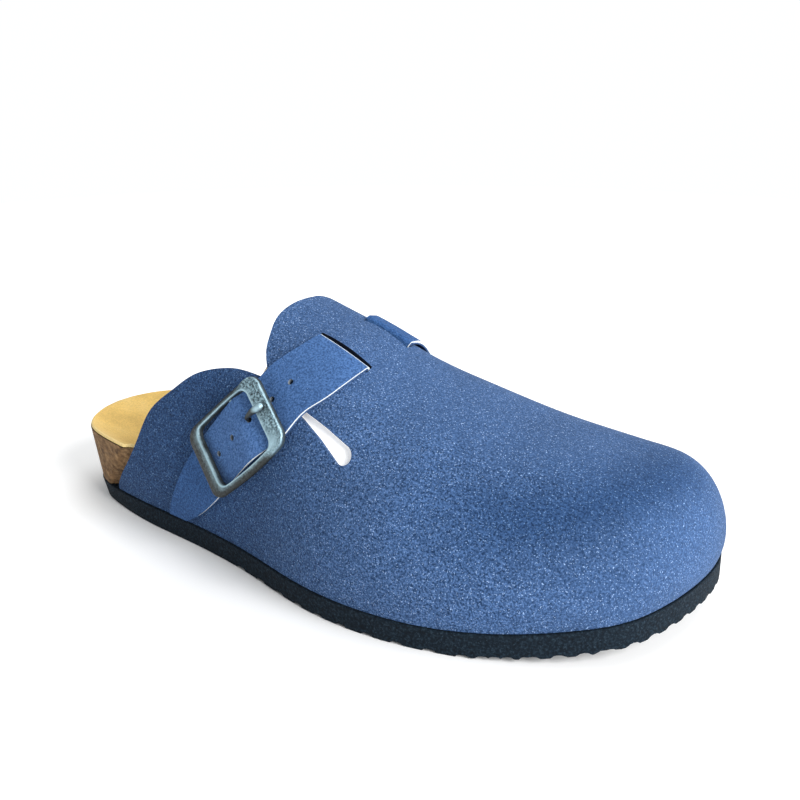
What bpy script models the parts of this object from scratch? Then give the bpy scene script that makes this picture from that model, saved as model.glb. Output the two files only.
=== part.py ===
"""A right-foot clog mule: a closed-toe, open-back suede shoe with a buckled strap on a cork footbed.

Metres, +Z up. The toe points along +X, the medial side is +Y, and the shoe stands on z = 0.
"""

import math
from collections import namedtuple

import bmesh
import bpy
import numpy as np
from mathutils import Euler, Matrix, Vector
from mathutils.geometry import delaunay_2d_cdt

# Driving sizes
LENGTH = 0.272
OUTSOLE_THICK = 0.0085
TOE_SPRING = 0.0105
SPRING_START = 0.70
GAP = 0.0003
WALL = 0.0020
UPPER_INSET = 0.0007

# Outline of the outsole, as fractions of the length: a row for each cross line from heel to toe
OutlineRow = namedtuple("OutlineRow", "station lateral medial")
OUTLINE = (
    OutlineRow(0.000, 0.000, 0.000),
    OutlineRow(0.012, -0.050, 0.050),
    OutlineRow(0.040, -0.090, 0.086),
    OutlineRow(0.090, -0.113, 0.110),
    OutlineRow(0.180, -0.131, 0.128),
    OutlineRow(0.300, -0.147, 0.127),
    OutlineRow(0.420, -0.171, 0.122),
    OutlineRow(0.520, -0.199, 0.131),
    OutlineRow(0.600, -0.212, 0.149),
    OutlineRow(0.680, -0.211, 0.168),
    OutlineRow(0.760, -0.196, 0.180),
    OutlineRow(0.840, -0.168, 0.186),
    OutlineRow(0.910, -0.132, 0.179),
    OutlineRow(0.965, -0.083, 0.166),
    OutlineRow(1.000, 0.073, 0.073),
)
OUTLINE_POINTS = 600
OUTLINE_WRAP = 5
SOLE_ROWS = 44

# Sections of the upper: ridge height and sideways place, roundness of the sides, bulge over the sole
SectionRow = namedtuple("SectionRow", "station height side fullness bulge")
SECTIONS = (
    SectionRow(0.06, 0.1150, 0.0000, 2.40, 0.0043),
    SectionRow(0.20, 0.1120, 0.0010, 2.33, 0.0036),
    SectionRow(0.34, 0.1043, 0.0020, 2.26, 0.0020),
    SectionRow(0.40, 0.0991, 0.0027, 2.23, 0.0016),
    SectionRow(0.46, 0.0937, 0.0037, 2.21, 0.0015),
    SectionRow(0.52, 0.0877, 0.0047, 2.21, 0.0016),
    SectionRow(0.58, 0.0804, 0.0057, 2.23, 0.0018),
    SectionRow(0.66, 0.0735, 0.0078, 2.26, 0.0020),
    SectionRow(0.74, 0.0674, 0.0102, 2.28, 0.0020),
    SectionRow(0.82, 0.0621, 0.0126, 2.32, 0.0020),
    SectionRow(0.90, 0.0585, 0.0150, 2.40, 0.0020),
)
FAN_START = 0.60
RIDGE_END = 0.90
FAN_POWER = 2.1
BULGE_PEAK = 0.3

# Back edge of the upper. "girth" runs over a section from the lateral sole edge at -1, by the ridge
# at 0, to the medial sole edge at 1.
EdgeRow = namedtuple("EdgeRow", "girth station")
LATERAL_WING = (
    EdgeRow(-1.000, 0.104),
    EdgeRow(-0.916, 0.157),
    EdgeRow(-0.831, 0.190),
    EdgeRow(-0.745, 0.219),
    EdgeRow(-0.673, 0.258),
    EdgeRow(-0.597, 0.298),
    EdgeRow(-0.528, 0.351),
    EdgeRow(-0.491, 0.396),
    EdgeRow(-0.475, 0.430),
)
TONGUE_AND_MEDIAL_WING = (
    EdgeRow(-0.450, 0.424),
    EdgeRow(-0.386, 0.410),
    EdgeRow(-0.325, 0.405),
    EdgeRow(-0.262, 0.401),
    EdgeRow(-0.140, 0.403),
    EdgeRow(0.030, 0.414),
    EdgeRow(0.200, 0.427),
    EdgeRow(0.300, 0.428),
    EdgeRow(0.400, 0.418),
    EdgeRow(0.500, 0.377),
    EdgeRow(0.597, 0.312),
    EdgeRow(0.673, 0.265),
    EdgeRow(0.745, 0.224),
    EdgeRow(0.831, 0.191),
    EdgeRow(0.916, 0.157),
    EdgeRow(1.000, 0.104),
)

# The upper's flat pattern: x along the length, y along the girth
GIRTH_REACH = 0.105
PATTERN_STEP = 0.0068
TOE_RIBS = 22
GIRTH_COLUMNS = 26
EDGE_CLEAR = 0.0024
EDGE_STEP = 0.0045
EDGE_SAMPLES = 400
PATTERN_WELD = 1e-5

# Keyhole from the back edge to a round end: a row for each round, joined by straight sides
RoundRow = namedtuple("RoundRow", "station girth radius")
KEYHOLE = (
    RoundRow(0.430, -0.4625, 0.0009),
    RoundRow(0.506, -0.502, 0.0012),
    RoundRow(0.584, -0.546, 0.0041),
)
KEYHOLE_END_TURN = math.radians(99)
KEYHOLE_END_STEPS = 8

# Strap: its two edges along the girth
StrapRow = namedtuple("StrapRow", "girth back front")
STRAP = (
    StrapRow(-0.995, 0.2500, 0.2830),
    StrapRow(-0.980, 0.2550, 0.3040),
    StrapRow(-0.943, 0.2685, 0.3395),
    StrapRow(-0.868, 0.2950, 0.3850),
    StrapRow(-0.780, 0.3285, 0.4215),
    StrapRow(-0.647, 0.3790, 0.4720),
    StrapRow(-0.570, 0.4050, 0.4945),
    StrapRow(-0.495, 0.4240, 0.5100),
    StrapRow(-0.425, 0.4345, 0.5270),
    StrapRow(-0.348, 0.4490, 0.5400),
    StrapRow(-0.210, 0.4720, 0.5535),
    StrapRow(0.070, 0.4820, 0.5560),
    StrapRow(0.300, 0.4820, 0.5580),
    StrapRow(0.700, 0.4680, 0.5560),
    StrapRow(1.000, 0.4520, 0.5480),
)
STRAP_THICK = 0.0015
# Between the tail and the slit the strap's cross lines lean this far off the girth lines
STRAP_LEAN = 0.122
LEAN_GROWS = (-0.97, -0.82)
LEAN_FADES = (-0.54, -0.30)
STRAP_CLEAR = 0.0004
LiftRow = namedtuple("LiftRow", "girth lift")
LATERAL_LIFT = (
    LiftRow(-0.990, 0.0010),
    LiftRow(-0.920, 0.0013),
    LiftRow(-0.830, 0.0019),
    LiftRow(-0.780, 0.0024),
    LiftRow(-0.700, 0.0035),
    LiftRow(-0.648, 0.0039),
    LiftRow(-0.605, 0.0024),
    LiftRow(-0.570, 0.0012),
    LiftRow(-0.500, 0.0007),
    LiftRow(-0.420, 0.0005),
    LiftRow(-0.300, STRAP_CLEAR),
    LiftRow(-0.222, STRAP_CLEAR),
)
MEDIAL_LIFT = (
    LiftRow(0.130, 0.0009),
    LiftRow(0.190, 0.0011),
    LiftRow(0.290, 0.0008),
    LiftRow(0.420, STRAP_CLEAR),
    LiftRow(0.600, STRAP_CLEAR),
    LiftRow(0.985, STRAP_CLEAR),
)
LATERAL_SLIT = -0.214
MEDIAL_SLIT = 0.070
SLIT_WIDTH = 0.0034
SLIT_END_CLEAR = 0.0005
SLIT_STEPS = 5
DIVE_ANGLE = math.radians(75)
DIVE_STEPS = 5
BRIDGE_STEPS = 5
STRAP_STEP = 0.0036
STRAP_COLUMNS = 4
STRAP_SAMPLES = 600
HOLE_GIRTHS = (-0.436, -0.524, -0.618, -0.695, -0.764)
HOLE_ACROSS = 0.45
HOLE_DEPTH = 0.024
HOLE_RADIUS = 0.0016
HOLE_SIDES = 10

# Footbed: heights of its top along the middle and the two rims
FootbedRow = namedtuple("FootbedRow", "station middle lateral_rim medial_rim")
FOOTBED = (
    FootbedRow(0.00, 0.0322, 0.0322, 0.0322),
    FootbedRow(0.05, 0.0270, 0.0323, 0.0323),
    FootbedRow(0.12, 0.0240, 0.0322, 0.0325),
    FootbedRow(0.22, 0.0232, 0.0315, 0.0335),
    FootbedRow(0.36, 0.0240, 0.0295, 0.0345),
    FootbedRow(0.50, 0.0225, 0.0265, 0.0305),
    FootbedRow(0.64, 0.0205, 0.0245, 0.0255),
    FootbedRow(0.80, 0.0195, 0.0235, 0.0235),
    FootbedRow(0.93, 0.0200, 0.0228, 0.0228),
    FootbedRow(0.985, 0.0225, 0.0225, 0.0225),
)
CUP_POWER = 3.0
INSOLE_THICK = 0.0012
INSOLE_INSET = 0.0003
# How far the footbed's sides stand out from the outline: at its bottom, and at its rim, both where
# the heel is bare and where the upper covers it
HEEL_BOTTOM_GROW = -0.0003
HEEL_RIM_GROW = 0.0029
COVERED_BOTTOM_GROW = -0.0033
GrowRow = namedtuple("GrowRow", "station grow")
COVERED_RIM_GROW = (
    GrowRow(0.10, 0.0001),
    GrowRow(0.18, -0.0003),
    GrowRow(0.26, -0.0012),
    GrowRow(0.36, -0.0024),
    GrowRow(0.50, -0.0030),
    GrowRow(1.00, -0.0030),
)
BARE_BOTTOM_END = 0.088
BARE_RIM_END = 0.158
BARE_BLEND = 0.012
BARE_ROWS = 8
FOOTBED_ROWS = 26
FOOTBED_COLUMNS = 8
FOOTBED_LAYERS = 3
CLOSEST_ROWS = 0.004

# Tread: wavy grooves across the sole
GROOVE_FIRST = 0.020
GROOVE_PITCH = 0.0112
GROOVE_WIDTH = 0.0040
GROOVE_DEPTH = 0.0018
GROOVE_WAVE = 0.0022
GROOVE_WAVELENGTH = 0.030
GROOVE_REACH = 0.070
GROOVE_STEPS = 16
SOLE_EDGE_ROUND = 0.0012

# Buckle, in its own frame: x along the strap towards the instep, y across it, z off the shoe
BUCKLE_GIRTH = -0.681
BUCKLE_ACROSS = 0.500
BUCKLE_LIFT = 0.0050
# The frame leans on the strap: turns about its own x, y and z
BUCKLE_LEAN = (math.radians(2.3), math.radians(1.9), math.radians(1.2))
BUCKLE_LENGTH = 0.0410
BUCKLE_WIDTH = 0.0300
WIDE_BAR = 0.0073
LOW_BAR = 0.0037
SIDE_BAR = 0.0028
FRAME_THICK = 0.0023
FRAME_ROUND = 0.0007
OUTER_CORNER = 0.0060
INNER_CORNER = 0.0022
CORNER_STEPS = 4
# The bar that the strap rises over, between the side bars
UNDER_BAR_AT = 0.0042
UNDER_BAR_RADIUS = 0.0008
UNDER_BAR_DROP = 0.0024
UNDER_BAR_INSET = 0.0017
PRONG_RADIUS = 0.0008
ProngRow = namedtuple("ProngRow", "along side off")
PRONG = (
    ProngRow(0.0075, 0.0014, -0.0030),
    ProngRow(0.0079, 0.0014, -0.0014),
    ProngRow(0.0085, 0.0014, 0.0004),
    ProngRow(0.0100, 0.0010, 0.0017),
    ProngRow(0.0124, 0.0003, 0.0022),
    ProngRow(0.0148, -0.0002, 0.0021),
    ProngRow(0.0176, -0.0008, 0.0018),
)

WELD = 1e-6
SMOOTH_BELOW = math.radians(35)
OBJECT_NAME = "clog_mule"


def spline(knots, values):
    """A natural cubic curve through the values, as a function of the knots."""
    x = np.asarray(knots, float)
    y = np.asarray(values, float)
    step = np.diff(x)
    system = np.eye(len(x))
    bends = np.zeros_like(y)
    for i in range(1, len(x) - 1):
        system[i, i - 1 : i + 2] = step[i - 1], 2 * (step[i - 1] + step[i]), step[i]
        bends[i] = 6 * ((y[i + 1] - y[i]) / step[i] - (y[i] - y[i - 1]) / step[i - 1])
    bends = np.linalg.solve(system, bends)

    def curve(at):
        at = np.clip(np.asarray(at, float), x[0], x[-1])
        i = np.clip(np.searchsorted(x, at) - 1, 0, len(x) - 2)
        width = step[i]
        after = (at - x[i]) / width
        if y.ndim == 2:
            width, after = width[..., None], after[..., None]
        before = 1 - after
        sag = (before**3 - before) * bends[i] + (after**3 - after) * bends[i + 1]
        return before * y[i] + after * y[i + 1] + width**2 / 6 * sag

    return curve


def table_curve(table, along, value):
    """A smooth curve through one column of a table, along another column."""
    return spline([getattr(row, along) for row in table], [getattr(row, value) for row in table])


def smooth_step(start, end, at):
    """Rises smoothly from 0 at start to 1 at end."""
    t = np.clip((np.asarray(at, float) - start) / (end - start), 0, 1)
    return t * t * (3 - 2 * t)


# Sole outline

def sole_ring():
    """The outline's points in plan: from the heel by the lateral side to the toe, and back."""
    lateral = [(row.station, row.lateral) for row in OUTLINE]
    medial = [(row.station, row.medial) for row in OUTLINE]
    ring = np.array(lateral + medial[-2:0:-1]) * LENGTH
    points = np.vstack([ring[-OUTLINE_WRAP:], ring, ring[: OUTLINE_WRAP + 1]])
    spans = np.sqrt(np.linalg.norm(np.diff(points, axis=0), axis=1))
    knots = np.concatenate([[0], np.cumsum(spans)])
    first, last = knots[OUTLINE_WRAP], knots[OUTLINE_WRAP + len(ring)]
    at = np.linspace(first, last, OUTLINE_POINTS, endpoint=False)
    return spline(knots, points)(at)


def grown(ring, grow):
    """The ring moved outwards by a distance, or by a distance for each of its points."""
    along = np.roll(ring, -1, axis=0) - np.roll(ring, 1, axis=0)
    out = np.column_stack([along[:, 1], -along[:, 0]])
    out /= np.linalg.norm(out, axis=1, keepdims=True)
    return ring + out * np.reshape(grow, (-1, 1))


def side_lines(ring):
    """The ring's lateral and medial halves, each from heel to toe."""
    ring = np.roll(ring, -np.argmin(ring[:, 0]), axis=0)
    toe = np.argmax(ring[:, 0])
    return ring[: toe + 1], np.vstack([ring[toe:], ring[:1]])[::-1]


def spring(x):
    """How far the toe spring lifts the sole at x."""
    past = np.clip((np.asarray(x) / LENGTH - SPRING_START) / (1 - SPRING_START), 0, None)
    return TOE_SPRING * past**2


def ladder(ring, stations, columns):
    """Plan points in rows across the ring, from its heel end to its toe end."""
    lateral, medial = side_lines(ring)
    low, high = ring[:, 0].min(), ring[:, 0].max()
    x = low + (high - low) * np.asarray(stations)
    left = np.interp(x, lateral[:, 0], lateral[:, 1])
    right = np.interp(x, medial[:, 0], medial[:, 1])
    share = np.linspace(0, 1, columns + 1)
    y = left[:, None] * (1 - share) + right[:, None] * share
    return np.dstack([np.broadcast_to(x[:, None], y.shape), y])


def even_stations(count):
    """Rows from 0 to 1, closer together at both ends."""
    return (1 - np.cos(np.linspace(0, math.pi, count + 1))) / 2


# Meshes

def new_object(name, mesh, material, collection):
    made = bpy.data.objects.new(name, mesh)
    collection.objects.link(made)
    if material:
        mesh.materials.append(material)
        mesh.shade_smooth()
        mesh.set_sharp_from_angle(angle=SMOOTH_BELOW)
    return made


def add_grid(build, points):
    """Adds a sheet of four-sided faces through a grid of points."""
    rows = [[build.verts.new(point) for point in row] for row in points]
    for near, far in zip(rows, rows[1:]):
        for i in range(len(near) - 1):
            build.faces.new((near[i], near[i + 1], far[i + 1], far[i]))


def closed_mesh(name, grids):
    """One mesh from sheets that meet along their edges."""
    build = bmesh.new()
    for points in grids:
        add_grid(build, points)
    bmesh.ops.remove_doubles(build, verts=build.verts, dist=WELD)
    bmesh.ops.recalc_face_normals(build, faces=build.faces)
    mesh = bpy.data.meshes.new(name)
    build.to_mesh(mesh)
    build.free()
    return mesh


def rim_of(grid):
    """The border of a ladder grid, round and back to its first point."""
    return np.vstack([grid[:, 0], grid[::-1, -1], grid[:1, 0]])


def layered_mesh(name, layers):
    """A closed solid: the first layer is its bottom, the last its top, and their rims are joined."""
    sides = np.array([rim_of(layer) for layer in layers])
    return closed_mesh(name, [layers[0], sides, layers[-1]])


def raised(plan, height):
    """A plan grid with heights added."""
    return np.dstack([plan, np.broadcast_to(height, plan.shape[:2])])


def material_of(name, colour, roughness, metallic=0.0):
    made = bpy.data.materials.new(name)
    made.use_nodes = True
    shader = made.node_tree.nodes["Principled BSDF"]
    shader.inputs["Base Color"].default_value = (*colour, 1.0)
    shader.inputs["Roughness"].default_value = roughness
    shader.inputs["Metallic"].default_value = metallic
    return made


def cut(target, cutter, operation="DIFFERENCE"):
    cutter.hide_render = True
    cutter.display_type = "WIRE"
    modifier = target.modifiers.new(cutter.name, "BOOLEAN")
    modifier.operation = operation
    modifier.object = cutter
    modifier.solver = "EXACT"


# Outsole

def make_outsole(ring, parts, helpers):
    stations = even_stations(SOLE_ROWS)
    layers = []
    for grow, level in (
        (-SOLE_EDGE_ROUND, 0.0),
        (0.0, SOLE_EDGE_ROUND),
        (0.0, OUTSOLE_THICK - SOLE_EDGE_ROUND / 2),
        (-SOLE_EDGE_ROUND / 2, OUTSOLE_THICK),
    ):
        plan = ladder(grown(ring, grow), stations, 1)
        layers.append(raised(plan, spring(plan[:, :, 0]) + level))
    material = material_of("outsole_eva", (0.013, 0.026, 0.044), 0.85)
    outsole = new_object("outsole", layered_mesh("outsole", layers), material, parts)
    grids = []
    count = int((LENGTH - 2 * GROOVE_FIRST) / GROOVE_PITCH) + 1
    for number in range(count):
        grids += groove(GROOVE_FIRST + number * GROOVE_PITCH)
    cut(outsole, new_object("tread_grooves", closed_mesh("tread_grooves", grids), None, helpers))
    return outsole


def groove(start):
    """Sheets of one wavy groove's cutter, a bar from below the sole up to the groove's floor."""
    y = np.linspace(-GROOVE_REACH, GROOVE_REACH, GROOVE_STEPS + 1)
    x = start + GROOVE_WAVE * np.sin(2 * math.pi * y / GROOVE_WAVELENGTH)
    half = GROOVE_WIDTH / 2
    floor = spring(x) + GROOVE_DEPTH
    below = np.full_like(x, -GROOVE_DEPTH)
    loop = []
    for side, height in ((-half, below), (half, below), (half, floor), (-half, floor), (-half, below)):
        loop.append(np.column_stack([x + side, y, height]))
    loop = np.array(loop)
    ends = [loop[[[0, 1], [3, 2]], end] for end in (0, -1)]
    return [loop, *ends]


# Footbed and insole

def footbed_grow(ring, share):
    """How far the footbed's side stands out at each outline point, from its bottom (0) to its rim (1)."""
    station = ring[:, 0] / LENGTH
    bare = HEEL_BOTTOM_GROW + (HEEL_RIM_GROW - HEEL_BOTTOM_GROW) * share
    rim = table_curve(COVERED_RIM_GROW, "station", "grow")(station)
    covered = COVERED_BOTTOM_GROW + (rim - COVERED_BOTTOM_GROW) * share
    end = BARE_BOTTOM_END + (BARE_RIM_END - BARE_BOTTOM_END) * share
    hidden = smooth_step(end - BARE_BLEND, end, station)
    return bare * (1 - hidden) + covered * hidden


def footbed_top(plan):
    """Height of the footbed at the points of a ladder grid: a cup that rises to both rims."""
    x = plan[:, :1, 0]
    station = np.clip(x / LENGTH, 0, 1)
    middle = table_curve(FOOTBED, "station", "middle")(station)
    lateral = table_curve(FOOTBED, "station", "lateral_rim")(station)
    medial = table_curve(FOOTBED, "station", "medial_rim")(station)
    across = np.linspace(-1, 1, plan.shape[1])
    rim = np.where(across < 0, lateral, medial)
    return middle + (rim - middle) * np.abs(across) ** CUP_POWER + spring(x)


def footbed_stations():
    """Rows with more of them where the upper starts to cover the footbed's side."""
    step_rows = np.linspace(BARE_BOTTOM_END - BARE_BLEND, BARE_RIM_END, BARE_ROWS)
    rows = np.sort(np.concatenate([even_stations(FOOTBED_ROWS), step_rows]))
    keep = np.concatenate([[True], np.diff(rows) > CLOSEST_ROWS])
    keep[-1] = True
    return rows[keep]


def make_footbed(ring, parts):
    stations = footbed_stations()
    layers = []
    for layer in range(FOOTBED_LAYERS + 1):
        share = layer / FOOTBED_LAYERS
        columns = FOOTBED_COLUMNS if layer == FOOTBED_LAYERS else 1
        plan = ladder(grown(ring, footbed_grow(ring, share)), stations, columns)
        foot = spring(plan[:, :, 0]) + OUTSOLE_THICK + GAP
        layers.append(raised(plan, foot + (footbed_top(plan) - foot) * share))
    material = material_of("cork", (0.153, 0.095, 0.050), 0.9)
    return new_object("cork_footbed", layered_mesh("cork_footbed", layers), material, parts)


def make_insole(ring, parts):
    stations = footbed_stations()
    plan = ladder(grown(ring, footbed_grow(ring, 1.0) - INSOLE_INSET), stations, FOOTBED_COLUMNS)
    height = footbed_top(plan) + GAP
    layers = [raised(plan, height), raised(plan, height + INSOLE_THICK)]
    material = material_of("lining_tan", (0.708, 0.491, 0.171), 0.85)
    return new_object("insole", layered_mesh("insole", layers), material, parts)


# Upper

class Last:
    """The upper's outer surface: ribs from the sole's edge over a ridge, fanning round the toe.

    "along" is station / FAN_START up to 1, and from 1 to 2 the way round the toe. "girth" is -1 at the
    lateral sole edge, 0 on the ridge and 1 at the medial sole edge.
    """

    def __init__(self, ring):
        lateral, medial = side_lines(grown(ring, -UPPER_INSET))
        self.sides = {-1: self.measured(lateral), 1: self.measured(medial)}
        self.height = table_curve(SECTIONS, "station", "height")
        self.side = table_curve(SECTIONS, "station", "side")
        self.fullness = table_curve(SECTIONS, "station", "fullness")
        self.bulge = table_curve(SECTIONS, "station", "bulge")

    @staticmethod
    def measured(line):
        run = np.concatenate([[0], np.cumsum(np.linalg.norm(np.diff(line, axis=0), axis=1))])
        return line, run, np.interp(FAN_START * LENGTH, line[:, 0], run)

    def sole_edge(self, along, side):
        line, run, fan = self.sides[side]
        back = np.interp(np.clip(along, 0, 1) * FAN_START * LENGTH, line[:, 0], run)
        front = fan + (np.clip(along, 1, 2) - 1) * (run[-1] - fan)
        at = np.where(along <= 1, back, front)
        return np.stack([np.interp(at, run, line[:, 0]), np.interp(at, run, line[:, 1])], axis=-1)

    def ridge_station(self, along):
        round_toe = np.clip(along - 1, 0, 1)
        front = FAN_START + (RIDGE_END - FAN_START) * (1 - (1 - round_toe) ** FAN_POWER)
        return np.where(along <= 1, along * FAN_START, front)

    def point(self, along, girth):
        along, girth = np.broadcast_arrays(np.asarray(along, float), np.asarray(girth, float))
        lateral = (girth < 0)[..., None]
        edge = np.where(lateral, self.sole_edge(along, -1), self.sole_edge(along, 1))
        station = self.ridge_station(along)
        ridge = np.stack([station * LENGTH, self.side(station)], axis=-1)
        turn = np.clip(np.abs(girth), 0, 1) * math.pi / 2
        power = 2 / self.fullness(station)
        out = np.sin(turn) ** power
        up = np.cos(turn) ** power
        rib = edge - ridge
        swell = up / BULGE_PEAK * np.exp(1 - up / BULGE_PEAK)
        reach = out + self.bulge(station) * swell / np.linalg.norm(rib, axis=-1)
        foot = spring(edge[..., 0]) + OUTSOLE_THICK + GAP
        height = foot + (self.height(station) - foot) * up
        return np.concatenate([ridge + rib * reach[..., None], height[..., None]], axis=-1)

    def normal(self, along, girth):
        step = 1e-3
        girth = np.clip(girth, -1 + step, 1 - step)
        forward = self.point(along + step, girth) - self.point(along - step, girth)
        over = self.point(along, girth + step) - self.point(along, girth - step)
        out = np.cross(forward, over)
        return out / np.linalg.norm(out, axis=-1, keepdims=True)

    def off(self, along, girth, distance):
        """A point this far outside the surface."""
        return self.point(along, girth) + self.normal(along, girth) * np.asarray(distance)[..., None]


def to_pattern(station, girth):
    return np.array([station * LENGTH, girth * GIRTH_REACH])


def edge_line(rows):
    """Pattern points along part of the back edge, at even steps."""
    girths = np.linspace(rows[0].girth, rows[-1].girth, EDGE_SAMPLES)
    points = np.column_stack([table_curve(rows, "girth", "station")(girths) * LENGTH, girths * GIRTH_REACH])
    return even_line(points, EDGE_STEP)


def even_line(points, step):
    """The polyline resampled at even distances near the given step, with both its ends."""
    run = np.concatenate([[0], np.cumsum(np.linalg.norm(np.diff(points, axis=0), axis=1))])
    at = np.linspace(0, run[-1], max(2, round(run[-1] / step) + 1))
    return np.column_stack([np.interp(at, run, points[:, i]) for i in range(2)])


def keyhole_line():
    """Pattern points down one side of the keyhole, round its end and back."""
    centres = [to_pattern(row.station, row.girth) for row in KEYHOLE]
    lower, upper = [], []
    for i, row in enumerate(KEYHOLE[:-1]):
        way = centres[i + 1] - centres[i]
        across = np.array([-way[1], way[0]]) / np.linalg.norm(way) * row.radius
        lower.append(centres[i] - across)
        upper.append(centres[i] + across)
    way = centres[-1] - centres[-2]
    heading = math.atan2(way[1], way[0])
    turns = heading + np.linspace(-KEYHOLE_END_TURN, KEYHOLE_END_TURN, KEYHOLE_END_STEPS + 1)
    end = centres[-1] + KEYHOLE[-1].radius * np.column_stack([np.cos(turns), np.sin(turns)])
    return np.vstack([lower, end, upper[::-1]])


def slit_line(route, girth, width):
    """Pattern points round a strap slit, from the lip that the strap bends over to the other lip."""
    back = strap_edge("back")(girth) * LENGTH - SLIT_END_CLEAR
    front = strap_edge("front")(girth) * LENGTH + SLIT_END_CLEAR
    other = route.girth_at(route.run_at(girth) + width)
    low, high = np.sort([girth, other]) * GIRTH_REACH
    steps = np.linspace(back, front, SLIT_STEPS + 1)
    below = np.column_stack([steps, np.full_like(steps, low)])
    above = np.column_stack([steps[::-1], np.full_like(steps, high)])
    return np.vstack([below, above])


def inside(points, ring):
    """Which points lie inside a closed ring, by counting crossings."""
    x, y = points[:, 0], points[:, 1]
    found = np.zeros(len(points), bool)
    for (ax, ay), (bx, by) in zip(ring, np.roll(ring, -1, axis=0)):
        spans = (ay > y) != (by > y)
        run = by - ay if by != ay else 1.0
        found ^= spans & (x < ax + (y - ay) / run * (bx - ax))
    return found


def upper_pattern(route):
    """The flat pattern: its border and its two slits."""
    wing = edge_line(LATERAL_WING)
    tongue = edge_line(TONGUE_AND_MEDIAL_WING)
    toe = 2 * FAN_START * LENGTH
    toe_girths = np.linspace(1, -1, GIRTH_COLUMNS + 1) * GIRTH_REACH
    front = np.column_stack([np.full(GIRTH_COLUMNS + 1, toe), toe_girths])
    medial = even_line(np.array([tongue[-1], front[0]]), PATTERN_STEP)
    lateral = even_line(np.array([front[-1], wing[0]]), PATTERN_STEP)
    border = np.vstack([wing[:-1], keyhole_line(), tongue[1:-1], medial[:-1], front[:-1], lateral[:-1]])
    slits = [slit_line(route, LATERAL_SLIT, SLIT_WIDTH), slit_line(route, MEDIAL_SLIT, -SLIT_WIDTH)]
    return border[::-1], slits


def pattern_fill(border, slits):
    """Inner points of the pattern, on a grid that keeps clear of its edges."""
    back = np.arange(0, FAN_START * LENGTH, PATTERN_STEP)
    front = FAN_START * LENGTH * (1 + np.linspace(0, 1, TOE_RIBS + 1)[:-1])
    girths = np.linspace(-1, 1, GIRTH_COLUMNS + 1)[1:-1] * GIRTH_REACH
    grid = np.array([(x, y) for x in np.concatenate([back, front]) for y in girths])
    keep = inside(grid, border)
    for slit in slits:
        keep &= ~inside(grid, slit)
    for line in (border, *slits):
        for start, end in zip(line, np.roll(line, -1, axis=0)):
            way = end - start
            share = np.clip((grid - start) @ way / max(way @ way, WELD**2), 0, 1)
            keep &= np.linalg.norm(grid - start - share[:, None] * way, axis=1) > EDGE_CLEAR
    return grid[keep]


def make_upper(last, route, parts):
    border, slits = upper_pattern(route)
    fill = pattern_fill(border, slits)
    points, edges = list(fill), []
    for line in (border, *slits):
        first = len(points)
        points += list(line)
        edges += [(first + i, first + (i + 1) % len(line)) for i in range(len(line))]
    flat, _, faces, *_ = delaunay_2d_cdt([Vector(p) for p in points], edges, [], 0, WELD / 10)
    flat = np.array(flat)
    centres = np.array([flat[face].mean(axis=0) for face in faces])
    kept = inside(centres, border)
    for slit in slits:
        kept &= ~inside(centres, slit)
    along = flat[:, 0] / (FAN_START * LENGTH)
    placed = last.point(along, flat[:, 1] / GIRTH_REACH)
    build = bmesh.new()
    corners = [build.verts.new(point) for point in placed]
    for face, keep in zip(faces, kept):
        if keep:
            build.faces.new([corners[i] for i in face])
    bmesh.ops.delete(build, geom=[v for v in build.verts if not v.link_faces], context="VERTS")
    bmesh.ops.remove_doubles(build, verts=build.verts, dist=PATTERN_WELD)
    mesh = bpy.data.meshes.new("upper")
    build.to_mesh(mesh)
    build.free()
    upper = new_object("upper", mesh, material_of("suede_blue", (0.080, 0.162, 0.356), 0.9), parts)
    wall = upper.modifiers.new("wall", "SOLIDIFY")
    wall.thickness = WALL
    wall.offset = -1
    return upper


# Strap

def strap_edge(edge):
    return table_curve(STRAP, "girth", edge)


def strap_along(girth, across):
    """The surface's "along" at a share of the strap's width."""
    back, front = strap_edge("back")(girth), strap_edge("front")(girth)
    return (back + (front - back) * across) / FAN_START


def strap_girth(girth, across):
    """Girth at a share of the strap's width, on the cross line that has this girth at its middle."""
    lean = smooth_step(*LEAN_GROWS, girth) * (1 - smooth_step(*LEAN_FADES, girth))
    return girth - STRAP_LEAN * lean * (across - 0.5)


class StrapRoute:
    """Turns distance along the strap's middle into girth, and back."""

    def __init__(self, last):
        self.girths = np.linspace(STRAP[0].girth, STRAP[-1].girth, STRAP_SAMPLES)
        middle = last.point(strap_along(self.girths, 0.5), self.girths)
        self.run = np.concatenate([[0], np.cumsum(np.linalg.norm(np.diff(middle, axis=0), axis=1))])

    def run_at(self, girth):
        return np.interp(girth, self.girths, self.run)

    def girth_at(self, run):
        return np.interp(run, self.run, self.girths)


def lifted(route, rows):
    """Route points (distance, height of the strap's middle) over a stretch outside the upper."""
    start, end = route.run_at(rows[0].girth), route.run_at(rows[-1].girth)
    run = np.linspace(start, end, round((end - start) / STRAP_STEP) + 1)
    lift = table_curve(rows, "girth", "lift")(route.girth_at(run))
    return np.column_stack([run, np.maximum(lift, STRAP_CLEAR) + STRAP_THICK / 2])


def dive(lip):
    """Route points of the bend down over a slit's lip and the bend back to run under the wall."""
    radius = STRAP_CLEAR + STRAP_THICK / 2
    turns = np.linspace(0, DIVE_ANGLE, DIVE_STEPS)
    over = np.column_stack([lip + radius * np.sin(turns), radius * np.cos(turns)])
    depth = -WALL - radius
    drop = over[-1, 1] - depth - radius * (1 - math.cos(DIVE_ANGLE))
    end = over[-1, 0] + drop / math.tan(DIVE_ANGLE) + radius * math.sin(DIVE_ANGLE)
    under = np.column_stack([end - radius * np.sin(turns), depth + radius * (1 - np.cos(turns))])
    return np.vstack([over, under[::-1]])


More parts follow.
